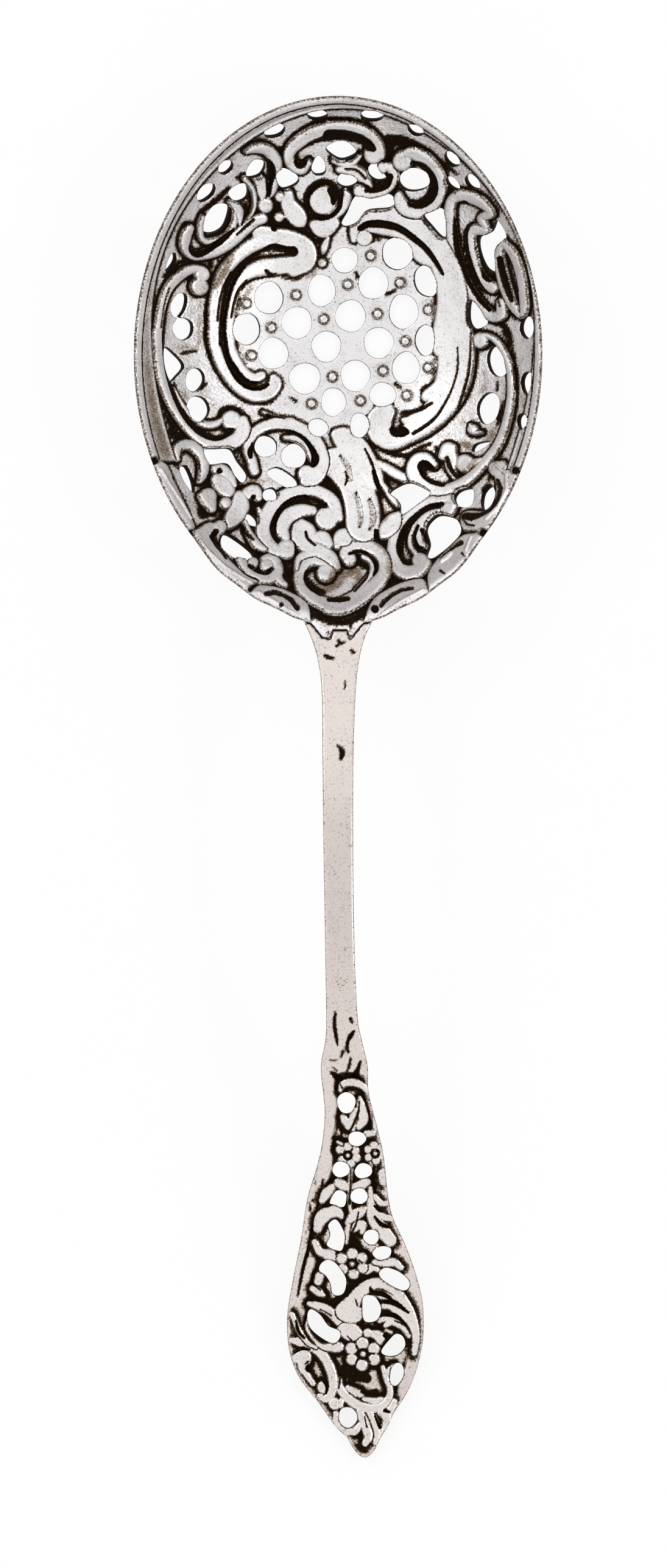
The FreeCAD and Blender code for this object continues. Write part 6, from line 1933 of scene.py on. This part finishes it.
def silver(name, clean, roughness, bump):
    """Sterling silver, chased by hand and worn: a grey-white metal, softly polished on its high places, with
    black sulphide left in the low ones, brown where it thins out and tan polish residue beside the ornament.
    The same black and brown also paint shade on the pieces' rounded shoulders and on the walls of holes.
    The fields on the mesh say where; specks, grain and clouds break them up."""
    settings = bpy.context.scene.berry_spoon
    material, tree = new_material(name)
    place = add_node(tree, "ShaderNodeTexCoord").outputs["Object"]
    fields = {key: add_node(tree, "ShaderNodeAttribute", attribute_name=key).outputs["Fac"]
              for key in ("patina_and_shade", "grime", "chased")}
    fields["speck"] = noise(tree, place, speck_size, 0.65)
    fields["grain"] = noise(tree, place, grain_size, 0.5)
    fields["cloud"] = noise(tree, place, cloud_size, 0.6)
    ragged = weighed(tree, fields, patina_and_shade_weights)
    film = ramp(tree, ragged, *film_ramp)
    black = ramp(tree, ragged, *black_ramp)
    wash = ramp(tree, weighed(tree, fields, wash_weights), *wash_ramp)
    dots = ramp(tree, weighed(tree, fields, dot_weights), *dot_ramp)
    shade = ramp(tree, fields["cloud"], *shade_ramp)
    base = mixed(tree, shade, linear(clean), linear(settings.shade_hex))
    along = add_node(tree, "ShaderNodeSeparateXYZ", {"Vector": place}).outputs["Y"]
    base = mixed(tree, ramp(tree, along, *warm_ramp), base, linear(settings.stem_hex))
    base = mixed(tree, wash, base, linear(settings.residue_hex))
    base = mixed(tree, dots, base, linear(settings.film_and_shade_hex))
    base = mixed(tree, film, base, linear(settings.film_and_shade_hex))
    base = mixed(tree, black, base, linear(settings.tarnish_and_shade_hex))
    rough = add_node(tree, "ShaderNodeMapRange", {"Value": worked(tree, "MAXIMUM", wash, film),
                                                  "To Min": roughness, "To Max": dull_roughness})
    streak = add_node(tree, "ShaderNodeMapping", {"Vector": place, "Scale": scratch_stretch})
    scratch = noise(tree, streak.outputs["Vector"], scratch_size, 0.5)
    swirl = add_node(tree, "ShaderNodeTexNoise", {"Vector": place, "Scale": per_metre(swirl_size),
                                                  "Detail": 2.0, "Distortion": 2.5}).outputs["Fac"]
    beaten = worked(tree, "MULTIPLY", swirl, fields["chased"])
    dent = add_node(tree, "ShaderNodeBump", {"Height": beaten, "Strength": bump, "Distance": dent_depth})
    fine = add_node(tree, "ShaderNodeBump", {"Height": scratch, "Strength": scratch_strength,
                                             "Distance": scratch_depth, "Normal": dent.outputs["Normal"]})
    shader = add_node(tree, "ShaderNodeBsdfPrincipled", {"Base Color": base, "Metallic": 1.0,
                                                         "Roughness": rough.outputs["Result"],
                                                         "Normal": fine.outputs["Normal"]})
    add_node(tree, "ShaderNodeOutputMaterial", {"Surface": shader.outputs["BSDF"]})
    return material


@lru_cache
def bowl_silver():
    return silver("sterling silver, raised sheet", bpy.context.scene.berry_spoon.sheet_hex, 0.4, 0.3)


@lru_cache
def relief_silver():
    return silver("sterling silver, chased relief", bpy.context.scene.berry_spoon.relief_hex, 0.33, 0.16)


@lru_cache
def stem_silver():
    return silver("sterling silver, forged stem", bpy.context.scene.berry_spoon.stem_hex, 0.28, 0.25)


def floor_paper():
    """White photographic paper: pure white where the camera or a reflection looks at it, with the faint
    shadow of what lies on it kept by a share of plain diffuse paper."""
    material, tree = new_material("white backdrop paper")
    rays = add_node(tree, "ShaderNodeLightPath").outputs
    seen = worked(tree, "MAXIMUM", rays["Is Camera Ray"], rays["Is Glossy Ray"])
    seen = worked(tree, "MAXIMUM", seen, rays["Is Transmission Ray"])
    grain = add_node(tree, "ShaderNodeTexNoise", {"Scale": per_metre(paper_grain_size)}).outputs["Fac"]
    pale = mixed(tree, grain, linear("#f6f6f5"), linear("#fafafa"))
    paper = add_node(tree, "ShaderNodeBsdfDiffuse", {"Color": pale})
    white = add_node(tree, "ShaderNodeEmission", {"Color": (1, 1, 1, 1), "Strength": 1.0})
    mix = add_node(tree, "ShaderNodeMixShader", {0: worked(tree, "MULTIPLY", seen, paper_white),
                                                 1: paper.outputs["BSDF"], 2: white.outputs["Emission"]})
    add_node(tree, "ShaderNodeOutputMaterial", {"Surface": mix.outputs["Shader"]})
    return material


def studio_world():
    """A white tent round the object: softly grey straight overhead where the camera looks in, brightest in a
    wide ring below it, with a light window on one side and a grey flag on the other, and plain white where
    the camera sees it."""
    world = bpy.data.worlds.new("studio tent")
    world.use_nodes = True
    tree = world.node_tree
    tree.nodes.clear()
    direction = add_node(tree, "ShaderNodeTexCoord").outputs["Generated"]
    height = add_node(tree, "ShaderNodeSeparateXYZ", {"Vector": direction}).outputs["Z"]
    light = ramp(tree, height, *tent_ring_heights, tent_ring, tent_top)
    light = worked(tree, "MULTIPLY", light, ramp(tree, height, 0.0, tent_low_height, 1.0, tent_low))
    for aim, spread, gain in tent_patches:
        facing = add_node(tree, "ShaderNodeVectorMath", {0: direction, 1: Vector(aim).normalized()},
                          operation="DOT_PRODUCT").outputs["Value"]
        light = worked(tree, "ADD", light, ramp(tree, facing, math.cos(math.radians(spread)), 1.0, gain))
    to_camera = add_node(tree, "ShaderNodeLightPath").outputs["Is Camera Ray"]
    tent = add_node(tree, "ShaderNodeBackground", {"Color": linear("#fbfbfb"), "Strength": light})
    white = add_node(tree, "ShaderNodeBackground", {"Color": (1, 1, 1, 1), "Strength": 1.0})
    mix = add_node(tree, "ShaderNodeMixShader", {0: to_camera, 1: tent.outputs["Background"],
                                                 2: white.outputs["Background"]})
    add_node(tree, "ShaderNodeOutputWorld", {"Surface": mix.outputs["Shader"]})
    return world


def millimetres(name, words, default, low, high):
    """A size that a user can set."""
    return bpy.props.FloatProperty(name=name, description=words + ", in millimetres", default=default,
                                   min=low, max=high)


def colour(name, words, default):
    """A colour that a user can set."""
    return bpy.props.StringProperty(name=name + " colour", description=words + ", as sRGB hex",
                                    default=default)


class SpoonSettings(bpy.types.PropertyGroup):
    """Sizes and colours that a user would change."""

    relief_height: millimetres("Relief height", "Height of the scrolls over the sheet", 0.7, 0.3, 1.2)
    shoulder: millimetres("Shoulder", "How far from a scroll's edge its rounding runs", 0.75, 0.2, 2.0)
    berry_height: millimetres("Berry height", "Rise of the round berries over a scroll's edge", 0.65, 0.2, 1.5)
    groove_depth: millimetres("Groove depth", "Depth of the chased grooves", 0.45, 0.1, 0.8)
    sheet_hex: colour("Sheet", "Clean silver of the bowl", "#f3f1f2")
    relief_hex: colour("Relief", "Clean silver of the scrolls", "#f1efef")
    stem_hex: colour("Stem", "Slightly warmer silver of the handle", "#e5dbd6")
    shade_hex: colour("Shade", "Silver under a thin film of tarnish", "#dad6d5")
    residue_hex: colour("Residue", "Tan polish residue beside the ornament", "#a59580")
    # The film and tarnish colours also paint shade on the pieces' rounded shoulders and on the walls of holes.
    film_and_shade_hex: colour("Film", "Brown sulphide where the black thins out", "#6b5234")
    tarnish_and_shade_hex: colour("Tarnish", "Black sulphide in the low places", "#20160d")
    camera_distance: bpy.props.FloatProperty(
        name="Camera distance", description="Height of the camera over the table", default=2.8, unit="LENGTH")
    scale_height: millimetres("Scale height", "Height over the table at which the photograph's scale holds",
                              14.0, 0.0, 50.0)


class SPOON_OT_bowl_sheet(bpy.types.Operator):
    """Builds the raised and pierced sheet of the bowl"""

    bl_idname = "berry_spoon.bowl_sheet"
    bl_label = "Bowl sheet"

    def execute(self, context):
        relief = bowl_relief()
        flat = np.zeros(relief.plan.shape)
        make_plate(relief, "bowl_sheet", sheet_stride, relief.metal, flat, bowl_wall, hole_edge_round,
                   on_bowl, bowl_silver())
        return {"FINISHED"}


class SPOON_OT_rim(bpy.types.Operator):
    """Builds the rim band and the six border strips that butt along the heel's sides"""

    bl_idname = "berry_spoon.rim"
    bl_label = "Rim band and borders"

    def execute(self, context):
        for name in ["rim_band", *border_shares]:
            make_relief_piece(bowl_relief(), name, on_bowl)
        return {"FINISHED"}


class SPOON_OT_scrolls(bpy.types.Operator):
    """Builds the scrolls, leaves and flowers laid on the bowl"""

    bl_idname = "berry_spoon.scrolls"
    bl_label = "Bowl scrollwork"

    def execute(self, context):
        for name in scroll_rows:
            make_relief_piece(bowl_relief(), name, on_bowl)
        return {"FINISHED"}


class SPOON_OT_bosses(bpy.types.Operator):
    """Builds the ring bosses among the lattice holes"""

    bl_idname = "berry_spoon.bosses"
    bl_label = "Lattice bosses"

    def execute(self, context):
        make_relief_piece(bowl_relief(), "lattice_bosses", on_bowl)
        return {"FINISHED"}


class SPOON_OT_handle(bpy.types.Operator):
    """Builds the arched stem with its shoulders and its pierced and sunk end plate"""

    bl_idname = "berry_spoon.handle"
    bl_label = "Handle"

    def execute(self, context):
        relief = end_relief()
        x, y = np.meshgrid(relief.plan.x, relief.plan.y)
        face, normal, _ = bowl_face(x, y)
        heel = outline_depth(relief.plan, bowl_outline())
        ground = on_handle(x, y, np.zeros_like(x))[..., 2]
        under = face - bowl_wall / normal[..., 2] - ground - lap_gap
        plate = np.where(relief.claimed > 0, 0, relief.height)
        top = np.where(heel > -heel_reach, np.minimum(plate, under), plate)
        depth = np.minimum(relief.metal, top + stem_thickness - least_thickness)
        make_plate(relief, "handle", handle_stride, depth, top, stem_thickness, handle_edge_round,
                   on_handle, stem_silver())
        return {"FINISHED"}


class SPOON_OT_end_ornament(bpy.types.Operator):
    """Builds the leaves, flowers and scrolls that stand on the end plate's sunk ground"""

    bl_idname = "berry_spoon.end_ornament"
    bl_label = "End plate ornament"

    def execute(self, context):
        for name in end_rows:
            make_relief_piece(end_relief(), name, on_handle)
        return {"FINISHED"}


class SPOON_OT_stage(bpy.types.Operator):
    """Lays out the paper, the lamps, the tent and the camera"""

    bl_idname = "berry_spoon.stage"
    bl_label = "Stage"

    def execute(self, context):
        scene = context.scene
        mesh = bpy.data.meshes.new("floor")
        corners = [(x * paper_half, y * paper_half, 0) for x, y in ((-1, -1), (1, -1), (1, 1), (-1, 1))]
        mesh.from_pydata(corners, [], [(0, 1, 2, 3)])
        mesh.materials.append(floor_paper())
        floor = bpy.data.objects.new("floor", mesh)
        scene.collection.objects.link(floor)
        scene.world = studio_world()
        for name, (place, size, power) in lamps.items():
            light = bpy.data.lights.new(name, "AREA")
            light.size = size
            light.energy = power
            lamp = bpy.data.objects.new(name, light)
            lamp.location = place
            aim = -lamp.location
            lamp.rotation_euler = aim.to_track_quat("-Z", "Y").to_euler()
            scene.collection.objects.link(lamp)
        distance = scene.berry_spoon.camera_distance
        data = bpy.data.cameras.new("camera")
        data.sensor_width = sensor_width
        seen_height = photo_pixels[1] * photo_pixel / MM
        data.lens = sensor_width * (distance - scene.berry_spoon.scale_height / MM) / seen_height
        camera = bpy.data.objects.new("camera", data)
        across = (photo_pixels[0] / 2 - spoon_middle_pixels[0]) * photo_pixel / MM
        along = (spoon_middle_pixels[1] - photo_pixels[1] / 2) * photo_pixel / MM
        camera.location = (across, along + camera_shift, distance)
        scene.collection.objects.link(camera)
        scene.camera = camera
        scene.view_settings.view_transform = "Standard"
        return {"FINISHED"}


steps = (SPOON_OT_bowl_sheet, SPOON_OT_rim, SPOON_OT_scrolls, SPOON_OT_bosses, SPOON_OT_handle,
         SPOON_OT_end_ornament, SPOON_OT_stage)


class SPOON_PT_panel(bpy.types.Panel):
    """Lists the spoon's sizes, colours and building steps"""

    bl_idname = "SPOON_PT_panel"
    bl_label = "Berry spoon"
    bl_space_type = "VIEW_3D"
    bl_region_type = "UI"
    bl_category = "Berry spoon"

    def draw(self, context):
        settings = context.scene.berry_spoon
        for name in settings.bl_rna.properties.keys():
            if name not in ("rna_type", "name"):
                self.layout.prop(settings, name)
        for step in steps:
            self.layout.operator(step.bl_idname)


def register():
    for item in (SpoonSettings, *steps, SPOON_PT_panel):
        bpy.utils.register_class(item)
    bpy.types.Scene.berry_spoon = bpy.props.PointerProperty(type=SpoonSettings)


def unregister():
    del bpy.types.Scene.berry_spoon
    for item in (SPOON_PT_panel, *steps[::-1], SpoonSettings):
        bpy.utils.unregister_class(item)


def main():
    register()
    for step in steps:
        category, name = step.bl_idname.split(".")
        getattr(getattr(bpy.ops, category), name)()


if __name__ == "__main__":
    main()
